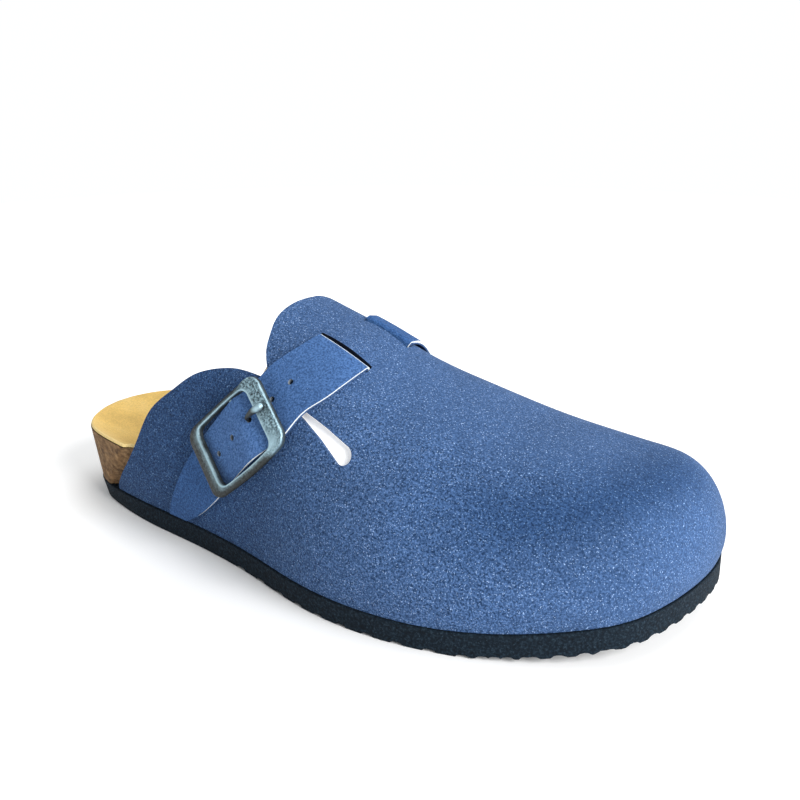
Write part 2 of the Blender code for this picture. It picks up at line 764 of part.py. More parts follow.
def strap_path(route):
    """The strap's middle line as (distance, height over the upper's outer surface)."""
    into = dive(route.run_at(LATERAL_SLIT))
    mirrored = dive(-route.run_at(MEDIAL_SLIT))
    out = np.column_stack([-mirrored[::-1, 0], mirrored[::-1, 1]])
    bridge = np.linspace(into[-1, 0], out[0, 0], BRIDGE_STEPS + 1)[1:-1]
    hidden = np.column_stack([bridge, np.full_like(bridge, into[-1, 1])])
    return np.vstack([lifted(route, LATERAL_LIFT), into, hidden, out, lifted(route, MEDIAL_LIFT)])


def make_strap(last, route, parts, helpers):
    path = strap_path(route)
    way = np.gradient(path, axis=0)
    way /= np.linalg.norm(way, axis=1, keepdims=True)
    out = np.column_stack([-way[:, 1], way[:, 0]]) * STRAP_THICK / 2
    across = np.linspace(0, 1, STRAP_COLUMNS + 1)
    sheets = []
    for face in (path + out, path - out):
        girth = strap_girth(route.girth_at(face[:, :1]), across)
        height = np.repeat(face[:, 1:], len(across), axis=1)
        sheets.append(last.off(strap_along(girth, across), girth, height))
    top, under = sheets
    sides = [np.array([top[:, i], under[:, i]]) for i in (0, -1)]
    ends = [np.array([top[i], under[i]]) for i in (0, -1)]
    mesh = closed_mesh("strap", [top, under, *sides, *ends])
    strap = new_object("strap", mesh, material_of("suede_strap", (0.078, 0.156, 0.342), 0.85), parts)
    build = bmesh.new()
    for girth in HOLE_GIRTHS:
        place = strap_frame(last, girth, HOLE_ACROSS, 0.0)
        bmesh.ops.create_cone(
            build, cap_ends=True, segments=HOLE_SIDES, radius1=HOLE_RADIUS, radius2=HOLE_RADIUS,
            depth=HOLE_DEPTH, matrix=place,
        )
    holes = bpy.data.meshes.new("strap_holes")
    build.to_mesh(holes)
    build.free()
    cut(strap, new_object("strap_holes", holes, None, helpers))
    return strap


def strap_frame(last, girth, across, lift):
    """Placement on the strap: x along it towards the instep, y across it, z off the shoe."""
    step = 0.02
    ahead = last.point(strap_along(girth + step, across), girth + step)
    behind = last.point(strap_along(girth - step, across), girth - step)
    z = Vector(last.normal(strap_along(girth, across), girth))
    x = Vector(ahead - behind)
    x = (x - x.dot(z) * z).normalized()
    y = z.cross(x)
    place = Matrix((x, y, z)).transposed().to_4x4()
    place.translation = last.off(strap_along(girth, across), girth, np.array(lift))
    return place


# Buckle

def rounded_box(low, high, half_width, corner):
    """Corner points of a rounded rectangle from x = low to x = high."""
    points = []
    for turn, cx, cy in (
        (0, high - corner, half_width - corner),
        (1, low + corner, half_width - corner),
        (2, low + corner, corner - half_width),
        (3, high - corner, corner - half_width),
    ):
        for step in range(CORNER_STEPS + 1):
            angle = (turn + step / CORNER_STEPS) * math.pi / 2
            points.append((cx + corner * math.cos(angle), cy + corner * math.sin(angle)))
    return points


def rod(name, points, radius):
    """A round wire through the points, made a mesh with its caps welded."""
    curve = bpy.data.curves.new(name, "CURVE")
    curve.dimensions = "3D"
    curve.bevel_depth = radius
    curve.bevel_resolution = 2
    curve.use_fill_caps = True
    line = curve.splines.new("POLY")
    line.points.add(len(points) - 1)
    for spot, point in zip(line.points, points):
        spot.co = (*point, 1.0)
    guide = bpy.data.objects.new(name, curve)
    mesh = bpy.data.meshes.new_from_object(guide)
    bpy.data.objects.remove(guide)
    mesh.name = name
    build = bmesh.new()
    build.from_mesh(mesh)
    bmesh.ops.remove_doubles(build, verts=build.verts, dist=WELD)
    bmesh.ops.recalc_face_normals(build, faces=build.faces)
    build.to_mesh(mesh)
    build.free()
    return mesh


def make_buckle(last, parts, helpers):
    half_length, half_width = BUCKLE_LENGTH / 2, BUCKLE_WIDTH / 2
    outer = rounded_box(-half_length, half_length, half_width, OUTER_CORNER)
    inner = rounded_box(-half_length + LOW_BAR, half_length - WIDE_BAR, half_width - SIDE_BAR, INNER_CORNER)
    inset = [
        rounded_box(
            -half_length + FRAME_ROUND, half_length - FRAME_ROUND, half_width - FRAME_ROUND,
            OUTER_CORNER - FRAME_ROUND,
        ),
        rounded_box(
            -half_length + LOW_BAR - FRAME_ROUND, half_length - WIDE_BAR + FRAME_ROUND,
            half_width - SIDE_BAR + FRAME_ROUND, INNER_CORNER + FRAME_ROUND,
        ),
    ]
    half_thick = FRAME_THICK / 2
    loops = []
    for ring, narrow in ((outer, inset[0]), (inner, inset[1])):
        loops.append((narrow, -half_thick))
        loops.append((ring, -half_thick + FRAME_ROUND))
        loops.append((ring, half_thick - FRAME_ROUND))
        loops.append((narrow, half_thick))
    sheets = [[(*p, level) for p in (*ring, ring[0])] for ring, level in loops]
    around = [*sheets[:4], *sheets[:3:-1], sheets[0]]
    material = material_of("buckle_metal", (0.270, 0.330, 0.375), 0.42, 0.9)
    frame = new_object("buckle_frame", closed_mesh("buckle_frame", [around]), material, parts)
    level = strap_frame(last, BUCKLE_GIRTH, BUCKLE_ACROSS, BUCKLE_LIFT)
    lean = Euler(BUCKLE_LEAN).to_matrix().to_4x4()
    frame.matrix_world = level @ lean
    reach = half_width - UNDER_BAR_INSET
    bends = [(side, drop) for side in (reach, -reach) for drop in (0.0, -UNDER_BAR_DROP)]
    route = [(UNDER_BAR_AT, *bends[i]) for i in (0, 1, 3, 2)]
    under_bar = new_object("under_bar", rod("under_bar", route, UNDER_BAR_RADIUS), None, helpers)
    under_bar.matrix_world = frame.matrix_world
    cut(frame, under_bar, "UNION")
    prong = new_object("buckle_prong", rod("buckle_prong", PRONG, PRONG_RADIUS), material, parts)
    prong.matrix_world = level
    return frame, prong


def stand_on_origin(pieces, helpers, name):
    """Parents every piece to an empty and moves it so that the shoe's box stands centred on the origin."""
    base = bpy.data.objects.new(name, None)
    bpy.context.scene.collection.objects.link(base)
    for piece in (*pieces, *helpers.objects):
        piece.parent = base
    bpy.context.view_layer.update()
    graph = bpy.context.evaluated_depsgraph_get()
    corners = []
    for piece in pieces:
        shape = piece.evaluated_get(graph)
        corners += [shape.matrix_world @ Vector(corner) for corner in shape.bound_box]
    low = np.min(corners, axis=0)
    high = np.max(corners, axis=0)
    base.location = (-(low[0] + high[0]) / 2, -(low[1] + high[1]) / 2, -low[2])
    bpy.context.view_layer.update()


def main():
    for old in list(bpy.data.objects):
        bpy.data.objects.remove(old)
    parts = bpy.data.collections.new(OBJECT_NAME)
    helpers = bpy.data.collections.new("cutters")
    for collection in (parts, helpers):
        bpy.context.scene.collection.children.link(collection)
    ring = sole_ring()
    last = Last(ring)
    route = StrapRoute(last)
    pieces = [
        make_outsole(ring, parts, helpers),
        make_footbed(ring, parts),
        make_insole(ring, parts),
        make_upper(last, route, parts),
        make_strap(last, route, parts, helpers),
        *make_buckle(last, parts, helpers),
    ]
    stand_on_origin(pieces, helpers, OBJECT_NAME + "_base")


main()
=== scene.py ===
"""Looks of the right-foot clog mule: suede, cork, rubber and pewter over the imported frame.

The shapes are worked out in metres with the heel at x = 0 and the toe along +X, as the part's source
does, with finer steps, and are then moved to the frame.
"""

import math
from collections import namedtuple

import bmesh
import bpy
import numpy as np
from mathutils import Euler, Matrix, Vector
from mathutils.geometry import delaunay_2d_cdt


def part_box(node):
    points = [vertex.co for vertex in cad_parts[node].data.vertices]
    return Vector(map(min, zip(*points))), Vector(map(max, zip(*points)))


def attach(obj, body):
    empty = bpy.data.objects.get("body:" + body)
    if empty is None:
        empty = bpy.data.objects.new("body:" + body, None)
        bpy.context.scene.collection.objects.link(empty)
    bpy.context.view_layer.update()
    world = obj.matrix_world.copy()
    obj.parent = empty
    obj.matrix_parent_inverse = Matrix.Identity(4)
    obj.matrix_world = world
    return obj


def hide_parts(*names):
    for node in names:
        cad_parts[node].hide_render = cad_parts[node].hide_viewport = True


def table(columns, *rows):
    """Rows of values, each under its column's name."""
    row = namedtuple("Row", columns)
    return tuple(row(*values) for values in rows)


# Driving sizes
LENGTH = 0.272
OUTSOLE_THICK = 0.0085
TOE_SPRING = 0.0105
SPRING_START = 0.70
GAP = 0.0003
WALL = 0.0020
UPPER_INSET = 0.0007

# Outline of the outsole, as fractions of the length: a row for each cross line from heel to toe
OUTLINE = table(
    "station lateral medial",
    (0.000, 0.000, 0.000),
    (0.012, -0.050, 0.050),
    (0.040, -0.090, 0.086),
    (0.090, -0.113, 0.110),
    (0.180, -0.131, 0.128),
    (0.300, -0.147, 0.127),
    (0.420, -0.171, 0.122),
    (0.520, -0.199, 0.131),
    (0.600, -0.212, 0.149),
    (0.680, -0.211, 0.168),
    (0.760, -0.196, 0.180),
    (0.840, -0.168, 0.186),
    (0.910, -0.132, 0.179),
    (0.965, -0.083, 0.166),
    (1.000, 0.073, 0.073),
)
OUTLINE_POINTS = 1200
OUTLINE_WRAP = 5
SOLE_ROWS = 150

# Sections of the upper: ridge height and sideways place, roundness of the sides, bulge over the sole
SECTIONS = table(
    "station height side fullness bulge",
    (0.06, 0.1150, 0.0000, 2.40, 0.0043),
    (0.20, 0.1120, 0.0010, 2.33, 0.0036),
    (0.34, 0.1043, 0.0020, 2.26, 0.0020),
    (0.40, 0.0991, 0.0027, 2.23, 0.0016),
    (0.46, 0.0937, 0.0037, 2.21, 0.0015),
    (0.52, 0.0877, 0.0047, 2.21, 0.0016),
    (0.58, 0.0804, 0.0057, 2.23, 0.0018),
    (0.66, 0.0735, 0.0078, 2.26, 0.0020),
    (0.74, 0.0674, 0.0102, 2.28, 0.0020),
    (0.82, 0.0621, 0.0126, 2.32, 0.0020),
    (0.90, 0.0585, 0.0150, 2.40, 0.0020),
)
FAN_START = 0.60
RIDGE_END = 0.90
FAN_POWER = 2.1
BULGE_PEAK = 0.3
# Steps along and over the surface, and along the strap, to take its slope
NORMAL_STEP = 1e-3
STRAP_SLOPE_STEP = 0.02

# Back edge of the upper. "girth" runs over a section from the lateral sole edge at -1, by the ridge
# at 0, to the medial sole edge at 1.
LATERAL_WING = table(
    "girth station",
    (-1.000, 0.104),
    (-0.916, 0.157),
    (-0.831, 0.190),
    (-0.745, 0.219),
    (-0.673, 0.258),
    (-0.597, 0.298),
    (-0.528, 0.351),
    (-0.491, 0.396),
    (-0.475, 0.430),
)
TONGUE_AND_MEDIAL_WING = table(
    "girth station",
    (-0.450, 0.424),
    (-0.386, 0.410),
    (-0.325, 0.405),
    (-0.262, 0.401),
    (-0.140, 0.403),
    (0.030, 0.414),
    (0.200, 0.427),
    (0.300, 0.428),
    (0.400, 0.418),
    (0.500, 0.377),
    (0.597, 0.312),
    (0.673, 0.265),
    (0.745, 0.224),
    (0.831, 0.191),
    (0.916, 0.157),
    (1.000, 0.104),
)

# The upper's flat pattern: x along the length, y along the girth
GIRTH_REACH = 0.105
PATTERN_STEP = 0.0021
TOE_RIBS = 70
GIRTH_COLUMNS = 88
EDGE_CLEAR = 0.0008
EDGE_STEP = 0.0013
EDGE_SAMPLES = 400
PATTERN_WELD = 1e-5
PATTERN_NEAR = 1e-7

# Keyhole from the back edge to a round end: a row for each round, joined by straight sides
KEYHOLE = table(
    "station girth radius",
    (0.430, -0.4790, 0.0009),
    (0.506, -0.5060, 0.0014),
    (0.542, -0.5150, 0.0025),
    (0.5815, -0.5385, 0.0039),
)
KEYHOLE_END_TURN = math.radians(99)
KEYHOLE_END_STEPS = 24

# Strap: its two edges along the girth
STRAP = table(
    "girth back front",
    (-0.995, 0.2500, 0.2830),
    (-0.980, 0.2550, 0.3040),
    (-0.943, 0.2685, 0.3395),
    (-0.868, 0.2950, 0.3855),
    (-0.780, 0.3285, 0.4262),
    (-0.647, 0.3775, 0.4785),
    (-0.570, 0.4010, 0.4965),
    (-0.495, 0.4195, 0.5100),
    (-0.425, 0.4325, 0.5270),
    (-0.348, 0.4490, 0.5400),
    (-0.210, 0.4720, 0.5535),
    (0.070, 0.4900, 0.5575),
    (0.300, 0.4900, 0.5590),
    (0.700, 0.4680, 0.5560),
    (1.000, 0.4520, 0.5480),
)
STRAP_THICK = 0.0015
MIDDLE = 0.5
# Between the tail and the slit the strap's cross lines lean this far off the girth lines
STRAP_LEAN = 0.122
LEAN_GROWS = (-0.97, -0.82)
LEAN_FADES = (-0.54, -0.30)
STRAP_CLEAR = 0.0004
LATERAL_LIFT = table(
    "girth lift",
    (-0.990, 0.0010),
    (-0.920, 0.0013),
    (-0.830, 0.0019),
    (-0.780, 0.0024),
    (-0.700, 0.0035),
    (-0.648, 0.0039),
    (-0.605, 0.0024),
    (-0.570, 0.0012),
    (-0.500, 0.0007),
    (-0.420, 0.0005),
    (-0.300, STRAP_CLEAR),
    (-0.222, STRAP_CLEAR),
)
MEDIAL_LIFT = table(
    "girth lift",
    (0.130, 0.0009),
    (0.190, 0.0011),
    (0.290, 0.0008),
    (0.420, STRAP_CLEAR),
    (0.600, STRAP_CLEAR),
    (0.985, STRAP_CLEAR),
)
LATERAL_SLIT = -0.214
MEDIAL_SLIT = 0.070
SLIT_WIDTH = 0.0034
SLIT_END_CLEAR = 0.0005
SLIT_STEPS = 16
DIVE_ANGLE = math.radians(75)
DIVE_STEPS = 9
BRIDGE_STEPS = 12
STRAP_STEP = 0.0012
STRAP_COLUMNS = 16
STRAP_SAMPLES = 600
HOLE_GIRTHS = (-0.436, -0.524, -0.618, -0.695, -0.764)
HOLE_ACROSS = 0.45
HOLE_DEPTH = 0.024
HOLE_RADIUS = 0.0011
HOLE_SIDES = 24

# Footbed: heights of its top along the middle and the two rims
FOOTBED = table(
    "station middle lateral_rim medial_rim",
    (0.00, 0.0322, 0.0322, 0.0322),
    (0.05, 0.0270, 0.0323, 0.0323),
    (0.12, 0.0240, 0.0322, 0.0325),
    (0.22, 0.0232, 0.0315, 0.0335),
    (0.36, 0.0240, 0.0295, 0.0345),
    (0.50, 0.0225, 0.0265, 0.0305),
    (0.64, 0.0205, 0.0245, 0.0255),
    (0.80, 0.0195, 0.0235, 0.0235),
    (0.93, 0.0200, 0.0228, 0.0228),
    (0.985, 0.0225, 0.0225, 0.0225),
)
CUP_POWER = 3.0
INSOLE_THICK = 0.0012
INSOLE_INSET = 0.0003
# The insole's side: inset and share of the thickness, from its bottom to its rounded top edge
INSOLE_SIDE = ((0.0, 0.0), (0.0, 0.55), (0.0002, 0.85), (0.0007, 1.0))
# How far the footbed's sides stand out from the outline: at its bottom, and at its rim, both where
# the heel is bare and where the upper covers it
HEEL_BOTTOM_GROW = -0.0003
HEEL_RIM_GROW = 0.0029
COVERED_BOTTOM_GROW = -0.0033
COVERED_RIM_GROW = table(
    "station grow",
    (0.10, 0.0001),
    (0.18, -0.0003),
    (0.26, -0.0012),
    (0.36, -0.0024),
    (0.50, -0.0030),
    (1.00, -0.0030),
)
BARE_BOTTOM_END = 0.088
BARE_RIM_END = 0.158
BARE_BLEND = 0.012
BARE_ROWS = 30
FOOTBED_ROWS = 110
FOOTBED_COLUMNS = 32
FOOTBED_LAYERS = 8
CLOSEST_ROWS = 0.0012

# Tread: wavy grooves across the sole
GROOVE_FIRST = 0.020
GROOVE_PITCH = 0.0112
GROOVE_WIDTH = 0.0040
GROOVE_DEPTH = 0.0018
GROOVE_WAVE = 0.0022
GROOVE_WAVELENGTH = 0.030
GROOVE_STEPS = 48
SOLE_EDGE_ROUND = 0.0005
# The outsole's side: growth and level, from its rounded lower edge to its upper one
SOLE_SIDE = (
    (-SOLE_EDGE_ROUND, 0.0),
    (-SOLE_EDGE_ROUND * 0.3, SOLE_EDGE_ROUND * 0.3),
    (0.0, SOLE_EDGE_ROUND),
    (0.0, OUTSOLE_THICK - SOLE_EDGE_ROUND / 2),
    (-SOLE_EDGE_ROUND / 2, OUTSOLE_THICK),
)
# Mouth of a groove, where it starts to run out at the sole's edge, and how far past or short of it
GROOVE_MOUTH = 0.0052
GROOVE_LAST = 0.009
OPEN_FROM = 0.40
GROOVE_OPEN = 0.010
GROOVE_KEEP = 0.004
# Section of a groove's cutter: width and share of the depth
GROOVE_SECTION = (
    (-GROOVE_MOUTH, -1.0), (GROOVE_MOUTH, -1.0), (GROOVE_MOUTH, 0.0), (GROOVE_WIDTH, 0.7),
    (GROOVE_WIDTH * 0.5, 1.0), (-GROOVE_WIDTH * 0.5, 1.0), (-GROOVE_WIDTH, 0.7), (-GROOVE_MOUTH, 0.0),
)
# Towards the sole's edge the grooves get shallower
GROOVE_EDGE_DEPTH = 0.60
GROOVE_RISES = (0.50, 0.80)

# Under the toe the outsole is this much thicker
TOE_DROP = 0.0007
# The outsole draws in towards the floor at the heel
HEEL_BEVEL = 0.0020
HEEL_BEVEL_FADES = (0.05, 0.22)

# Small notches along the edge round the toe
NOTCH_FROM = 0.80
NOTCH_PITCH = 0.0083
NOTCH_WIDTH = 0.0058
NOTCH_DEPTH = 0.0012
NOTCH_IN = 0.0050
NOTCH_OUT = 0.0040
NOTCH_SECTION = ((-1, -1), (1, -1), (1, 0), (0.45, 0.85), (0, 1), (-0.45, 0.85), (-1, 0))

# Buckle, in its own frame: x along the strap towards the instep, y across it, z off the shoe
BUCKLE_GIRTH = -0.681
BUCKLE_ACROSS = 0.473
BUCKLE_LIFT = 0.0050
# The frame leans on the strap: turns about its own x, y and z
BUCKLE_LEAN = (math.radians(2.3), math.radians(1.9), math.radians(-1.2))
BUCKLE_LENGTH = 0.0410
BUCKLE_WIDTH = 0.0300
WIDE_BAR = 0.0073
LOW_BAR = 0.0044
SIDE_BAR = 0.0028
FRAME_THICK = 0.0023
OUTER_CORNER = 0.0046
INNER_CORNER = 0.0032
CORNER_STEPS = 8
# The bar that the strap rises over, between the side bars
UNDER_BAR_AT = 0.0042
UNDER_BAR_RADIUS = 0.0008
UNDER_BAR_DROP = 0.0024
UNDER_BAR_INSET = 0.0017
UNDER_BAR_KNEE = 0.7
TUBE_SIDES = 14
PRONG_RADIUS = 0.0008
# A row for each point of its middle line, with its thickness as a share of the radius
PRONG = table(
    "along side off swell",
    (0.0075, 0.0014, -0.0030, 0.85),
    (0.0079, 0.0014, -0.0014, 0.85),
    (0.0085, 0.0014, 0.0004, 0.90),
    (0.0100, 0.0010, 0.0017, 1.10),
    (0.0124, 0.0003, 0.0022, 1.60),
    (0.0148, -0.0002, 0.0021, 1.95),
    (0.0176, -0.0008, 0.0018, 1.95),
)

WELD = 1e-6
SMOOTH_BELOW = math.radians(35)

# Soft trough across the toe along a bowed line in plan, and the low swell in front of it
TROUGH = table(
    "across along",
    (-0.0520, 0.2030),
    (-0.0450, 0.2125),
    (-0.0373, 0.2225),
    (-0.0285, 0.2345),
    (-0.0148, 0.2485),
    (-0.0011, 0.2555),
    (0.0180, 0.2600),
    (0.0350, 0.2620),
)
TROUGH_DEPTH = 0.0010
TROUGH_BEHIND = 0.0150
TROUGH_AHEAD = 0.0078
TROUGH_GROWS = (-0.058, -0.034)
TROUGH_FADES = (0.016, 0.040)
TROUGH_SLOPE_STEP = 0.00075
# How much painted shade lies along the bottom of the trough
TROUGH_DARK = 0.80
SWELL_AHEAD = 0.018
SWELL_HEIGHT = 0.0004
SWELL_WIDTH = 0.0110
RELIEF_WAY = np.array([0.39, 0.0, 0.92])
RELIEF_FADES = (0.80, 0.98)
# Tint of the painted shade that the mesh marks on the upper and the strap
PAINTED_SHADE_TINT = (0.36, 0.51, 0.61)
# Painted shade also lies on the outer side towards the heel, where it faces away from the lamps
DARK_SIDE = 0.80
DARK_SIDE_STATIONS = (0.34, 0.66)
DARK_SIDE_GIRTHS = (0.30, 0.62)
# Painted shade on the strap, along the buckle's own x: most at the tail, none in the buckle where it
# faces up
STRAP_SHADE = table(
    "along shade",
    (-0.0230, 0.84),
    (-0.0165, 0.05),
    (0.0125, 0.00),
    (0.0190, 0.34),
)
# On the inner side of the foot the strap takes this much painted shade
MEDIAL_SHADE = 0.80
# The nap is softer on top and at the toe
SOFT_NAP = 0.42
SOFT_GIRTHS = (0.20, 0.42)
SOFT_STATIONS = (0.78, 0.92)

# The bridge over the strap stands up at its two slits
LIP_RISE = 0.0010
LIP_REACH = 0.0090
LIP_ROUND = 0.7
SLIT_NEAR = 0.0145

# Strip of lining under the keyhole: its stations, its border past the hole, its two faces' depths
LINING_ROWS = (0.440, 0.618)
LINING_BORDER = 0.0040
LINING_DEPTHS = (0.0010, 0.0004)
LINING_STEPS = 30
LINING_COLUMNS = 12
# The lining glows, as painted light, so that the thin pale cloth shows bright under the keyhole
LINING_GLOW = 0.35

# Rows of the strap's bend over the lateral slit, painted pale as a highlight along its crest
BEND_ROWS = (3, 5)
# Share of the strap's cut edge that shows pale, on the outer and the inner side of the foot; below it the
# edge takes the painted shade of the underside
PALE_SHARE = 0.42
MEDIAL_PALE = 0.60
# Places of the materials on the strap, and of two on the upper
TOP_PAINT, PALE_PAINT, BEND_HIGHLIGHT_PAINT, UNDER_SHADE_PAINT = range(4)
RIM_PAINT, SLIT_PAINT = 2, 3

# Section of the buckle's bars: share of the way from the inner to the outer edge, and height for a
# sloped bar and for the flat wide bar, as shares of half the thickness
BAR_SECTION = table(
    "share sloped flat",
    (0.00, -1.00, -1.00),
    (0.00, 0.45, 0.40),
    (0.04, 0.78, 0.78),
    (0.11, 1.00, 1.05),
    (0.20, 1.04, 1.08),
    (0.31, 0.98, 0.86),
    (0.60, 0.70, 0.82),
    (0.86, 0.10, 0.84),
    (0.95, -0.15, 0.86),
    (0.99, -0.40, 0.50),
    (1.00, -0.65, 0.05),
    (1.00, -1.00, -1.00),
)
# How mottled each row is, and how much painted highlight and painted shade it takes: a pair for a sloped
# bar and for the wide bar
BAR_MARKS = table(
    "wide rubbed sooty",
    ((0.2, 0.2), (0.0, 0.0), (0.95, 0.95)),
    ((0.2, 0.2), (0.0, 0.0), (0.85, 0.80)),
    ((0.2, 0.2), (0.2, 0.5), (0.45, 0.15)),
    ((0.1, 0.4), (0.9, 0.9), (0.00, 0.00)),
    ((0.1, 0.8), (0.9, 0.4), (0.00, 0.00)),
    ((0.4, 1.0), (0.2, 0.0), (0.50, 0.00)),
    ((0.8, 1.0), (0.0, 0.0), (0.92, 0.00)),
    ((0.9, 1.0), (0.0, 0.0), (0.97, 0.00)),
    ((0.9, 1.0), (0.0, 0.0), (0.97, 0.00)),
    ((0.8, 0.3), (0.0, 0.6), (0.97, 0.00)),
    ((0.8, 0.3), (0.0, 0.1), (0.97, 0.70)),
    ((0.8, 0.3), (0.0, 0.0), (0.97, 0.95)),
)
# Painted highlight, brightest at the corner at the wide bar's front end: its place, its size and its
# marks
BRIGHT_CORNER = (0.0142, -0.0118)
BRIGHT_REACH = 0.0034
BRIGHT_MARKS = (("wide", 0.0), ("rubbed", 0.9), ("sooty", 0.0))
# The side bars bow out in plan, from corners that are drawn in
SIDE_BOW = 0.0015
CORNER_PULL = 0.00065
# The low bar's back corner stands further out
CORNER_OUT = 0.0015
SIDE_STEPS = 12
# The frame sits nearer the strap's front
FRAME_SHIFT = (0.0, -0.00060, 0.0)
# The low bar's outer slope reaches this much further down the strap
LOW_BAR_FLARE = 0.0024
FLARE_STARTS = 0.30
# The knob of the prong over the wide bar: where it grows, and how far off the bar and along it
KNOB_GROWS = (0.0085, 0.0124)
KNOB_RISE = 0.0008
KNOB_REACH = 0.0026
# Its blunt tip: how fast it rounds off, and the roundness left at the end
PRONG_BLUNT = 2.5
PRONG_TIP = 0.94
PRONG_STEPS = 5
# The prong has a painted highlight on its top and painted shade on its sides, by how far a point looks
# up, and painted shade where it comes out of the strap
PRONG_HIGHLIGHT = 0.9
PRONG_TOP = (0.45, 0.90)
PRONG_SHADE = 0.95
PRONG_SIDE = (-0.10, 0.70)
PRONG_SHAFT = (0.0145, 0.0175)

# Camera, from the photo: where it looks, its turn, tilt, roll, distance and lens
CAMERA_TARGET = (0.13619, 0.02540, 0.05314)
CAMERA_TURN = math.radians(34.015)
CAMERA_TILT = math.radians(19.770)
CAMERA_ROLL = math.radians(-0.395)
CAMERA_DISTANCE = 0.45767
CAMERA_LENS = 50.79
CAMERA_SENSOR = 36.0
CAMERA_NEAR = 0.01

# Lint flecks: the noise above which they show, on each suede, and how soft their edges are
UPPER_FLECKS = 0.66
RIM_FLECKS = 0.64
STRAP_FLECKS = 0.74
FLECK_EDGE = 0.05

# Between its fibres a cut edge is this dark
EDGE_SHADE = 0.80
# How much of the insole's stains and of the cork's mottle shows
STAIN_SHARE = 0.45
MOTTLE_SHARE = 0.62

# Colours, linear
SUEDE = (0.038, 0.084, 0.195)
SUEDE_DARK = (0.010, 0.030, 0.080)
SUEDE_LIGHT = (0.082, 0.160, 0.338)
SUEDE_FLECK = (0.300, 0.430, 0.680)
SUEDE_SHEEN = (0.55, 0.70, 1.0)
# The strap's colours are lighter for the painted light in the buckle; painted shade darkens them
# elsewhere
STRAP_TOP = (0.060, 0.138, 0.326)
STRAP_DARK = (0.034, 0.082, 0.204)
STRAP_LIGHT = (0.096, 0.202, 0.444)
CUT_EDGE = (0.820, 0.860, 0.850)
# Painted highlight along the crest of the strap's bend
BEND_HIGHLIGHT = (0.520, 0.600, 0.700)
LINING = (0.950, 0.945, 0.935)
SLIT_SHADE = (0.004, 0.007, 0.014)
HOLE_WALL = (0.200, 0.230, 0.260)
TAN = (0.77, 0.52, 0.160)
TAN_DARK = (0.520, 0.330, 0.100)
TAN_PALE = (0.88, 0.66, 0.28)
CORK = (0.182, 0.100, 0.044)
CORK_DARK = (0.050, 0.030, 0.017)
CORK_PALE = (0.345, 0.218, 0.108)
RUBBER = (0.0035, 0.0095, 0.0170)
RUBBER_DARK = (0.002, 0.004, 0.007)
RUBBER_PALE = (0.022, 0.040, 0.058)
PEWTER = (0.180, 0.285, 0.340)
PEWTER_DARK = (0.038, 0.042, 0.042)
PEWTER_PALE = (0.450, 0.640, 0.720)
# Painted shade on the buckle's faces turned away from the light and along its lower edges
SHADE_ON_METAL = (0.034, 0.034, 0.031)
FLOOR = (0.940, 0.940, 0.940)

# Light: a sky that is brighter at the horizon, two soft lamps, and a floor that glows away from the shoe
SKY = (0.95, 0.98, 1.0)
SKY_STRENGTH = 0.40
HORIZON_STRENGTH = 1.05
HORIZON_BAND = (0.00, 0.06)
FLOOR_RADIUS = 0.90
FLOOR_SIDES = 96
FLOOR_GLOW = 0.45
GLOW_BAND = (0.06, 0.30)
LIGHTS = table(
    "name at size watts",
    ("toe_key", (1.30, -0.30, 0.75), 0.9, 32.0),
    ("top_fill", (0.10, 0.45, 1.30), 1.1, 8.0),
)
LIGHT_AIM = Vector((0.02, 0.0, 0.04))

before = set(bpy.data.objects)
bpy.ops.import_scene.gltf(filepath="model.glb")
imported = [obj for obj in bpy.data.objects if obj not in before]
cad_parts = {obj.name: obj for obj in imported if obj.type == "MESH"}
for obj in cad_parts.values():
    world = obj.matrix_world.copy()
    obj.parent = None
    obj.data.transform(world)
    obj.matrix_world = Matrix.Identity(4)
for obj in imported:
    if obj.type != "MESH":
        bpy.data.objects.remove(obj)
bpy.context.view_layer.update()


# Curves and outline

def spline(knots, values):
    """A natural cubic curve through the values, as a function of the knots."""
    x = np.asarray(knots, float)
    y = np.asarray(values, float)
    step = np.diff(x)
    system = np.eye(len(x))
    bends = np.zeros_like(y)
    for i in range(1, len(x) - 1):
        system[i, i - 1 : i + 2] = step[i - 1], 2 * (step[i - 1] + step[i]), step[i]
        bends[i] = 6 * ((y[i + 1] - y[i]) / step[i] - (y[i] - y[i - 1]) / step[i - 1])
    bends = np.linalg.solve(system, bends)

    def curve(at):
        at = np.clip(np.asarray(at, float), x[0], x[-1])
        i = np.clip(np.searchsorted(x, at) - 1, 0, len(x) - 2)
        width = step[i]
        after = (at - x[i]) / width
        if y.ndim == 2:
            width, after = width[..., None], after[..., None]
        before = 1 - after
        sag = (before**3 - before) * bends[i] + (after**3 - after) * bends[i + 1]
        return before * y[i] + after * y[i + 1] + width**2 / 6 * sag

    return curve


def table_curve(rows, along, value):
    """A smooth curve through one column of a table, along another column."""
    return spline([getattr(row, along) for row in rows], [getattr(row, value) for row in rows])


def smooth_step(start, end, at):
    """Rises smoothly from 0 at start to 1 at end."""
    t = np.clip((np.asarray(at, float) - start) / (end - start), 0, 1)
    return t * t * (3 - 2 * t)


def bell(x):
    """1 at 0, fading to both sides."""
    return np.exp(-(x**2))


def unit(vectors):
    """The vectors brought to length 1."""
    return vectors / np.linalg.norm(vectors, axis=-1, keepdims=True)


def run_along(points):
    """The distance along a line, at each of its points."""
    return np.concatenate([[0], np.cumsum(np.linalg.norm(np.diff(points, axis=0), axis=1))])


def at_run(at, run, points):
    """Plan points at these distances along a line."""
    return np.stack([np.interp(at, run, points[:, axis]) for axis in (0, 1)], axis=-1)


# Sole outline

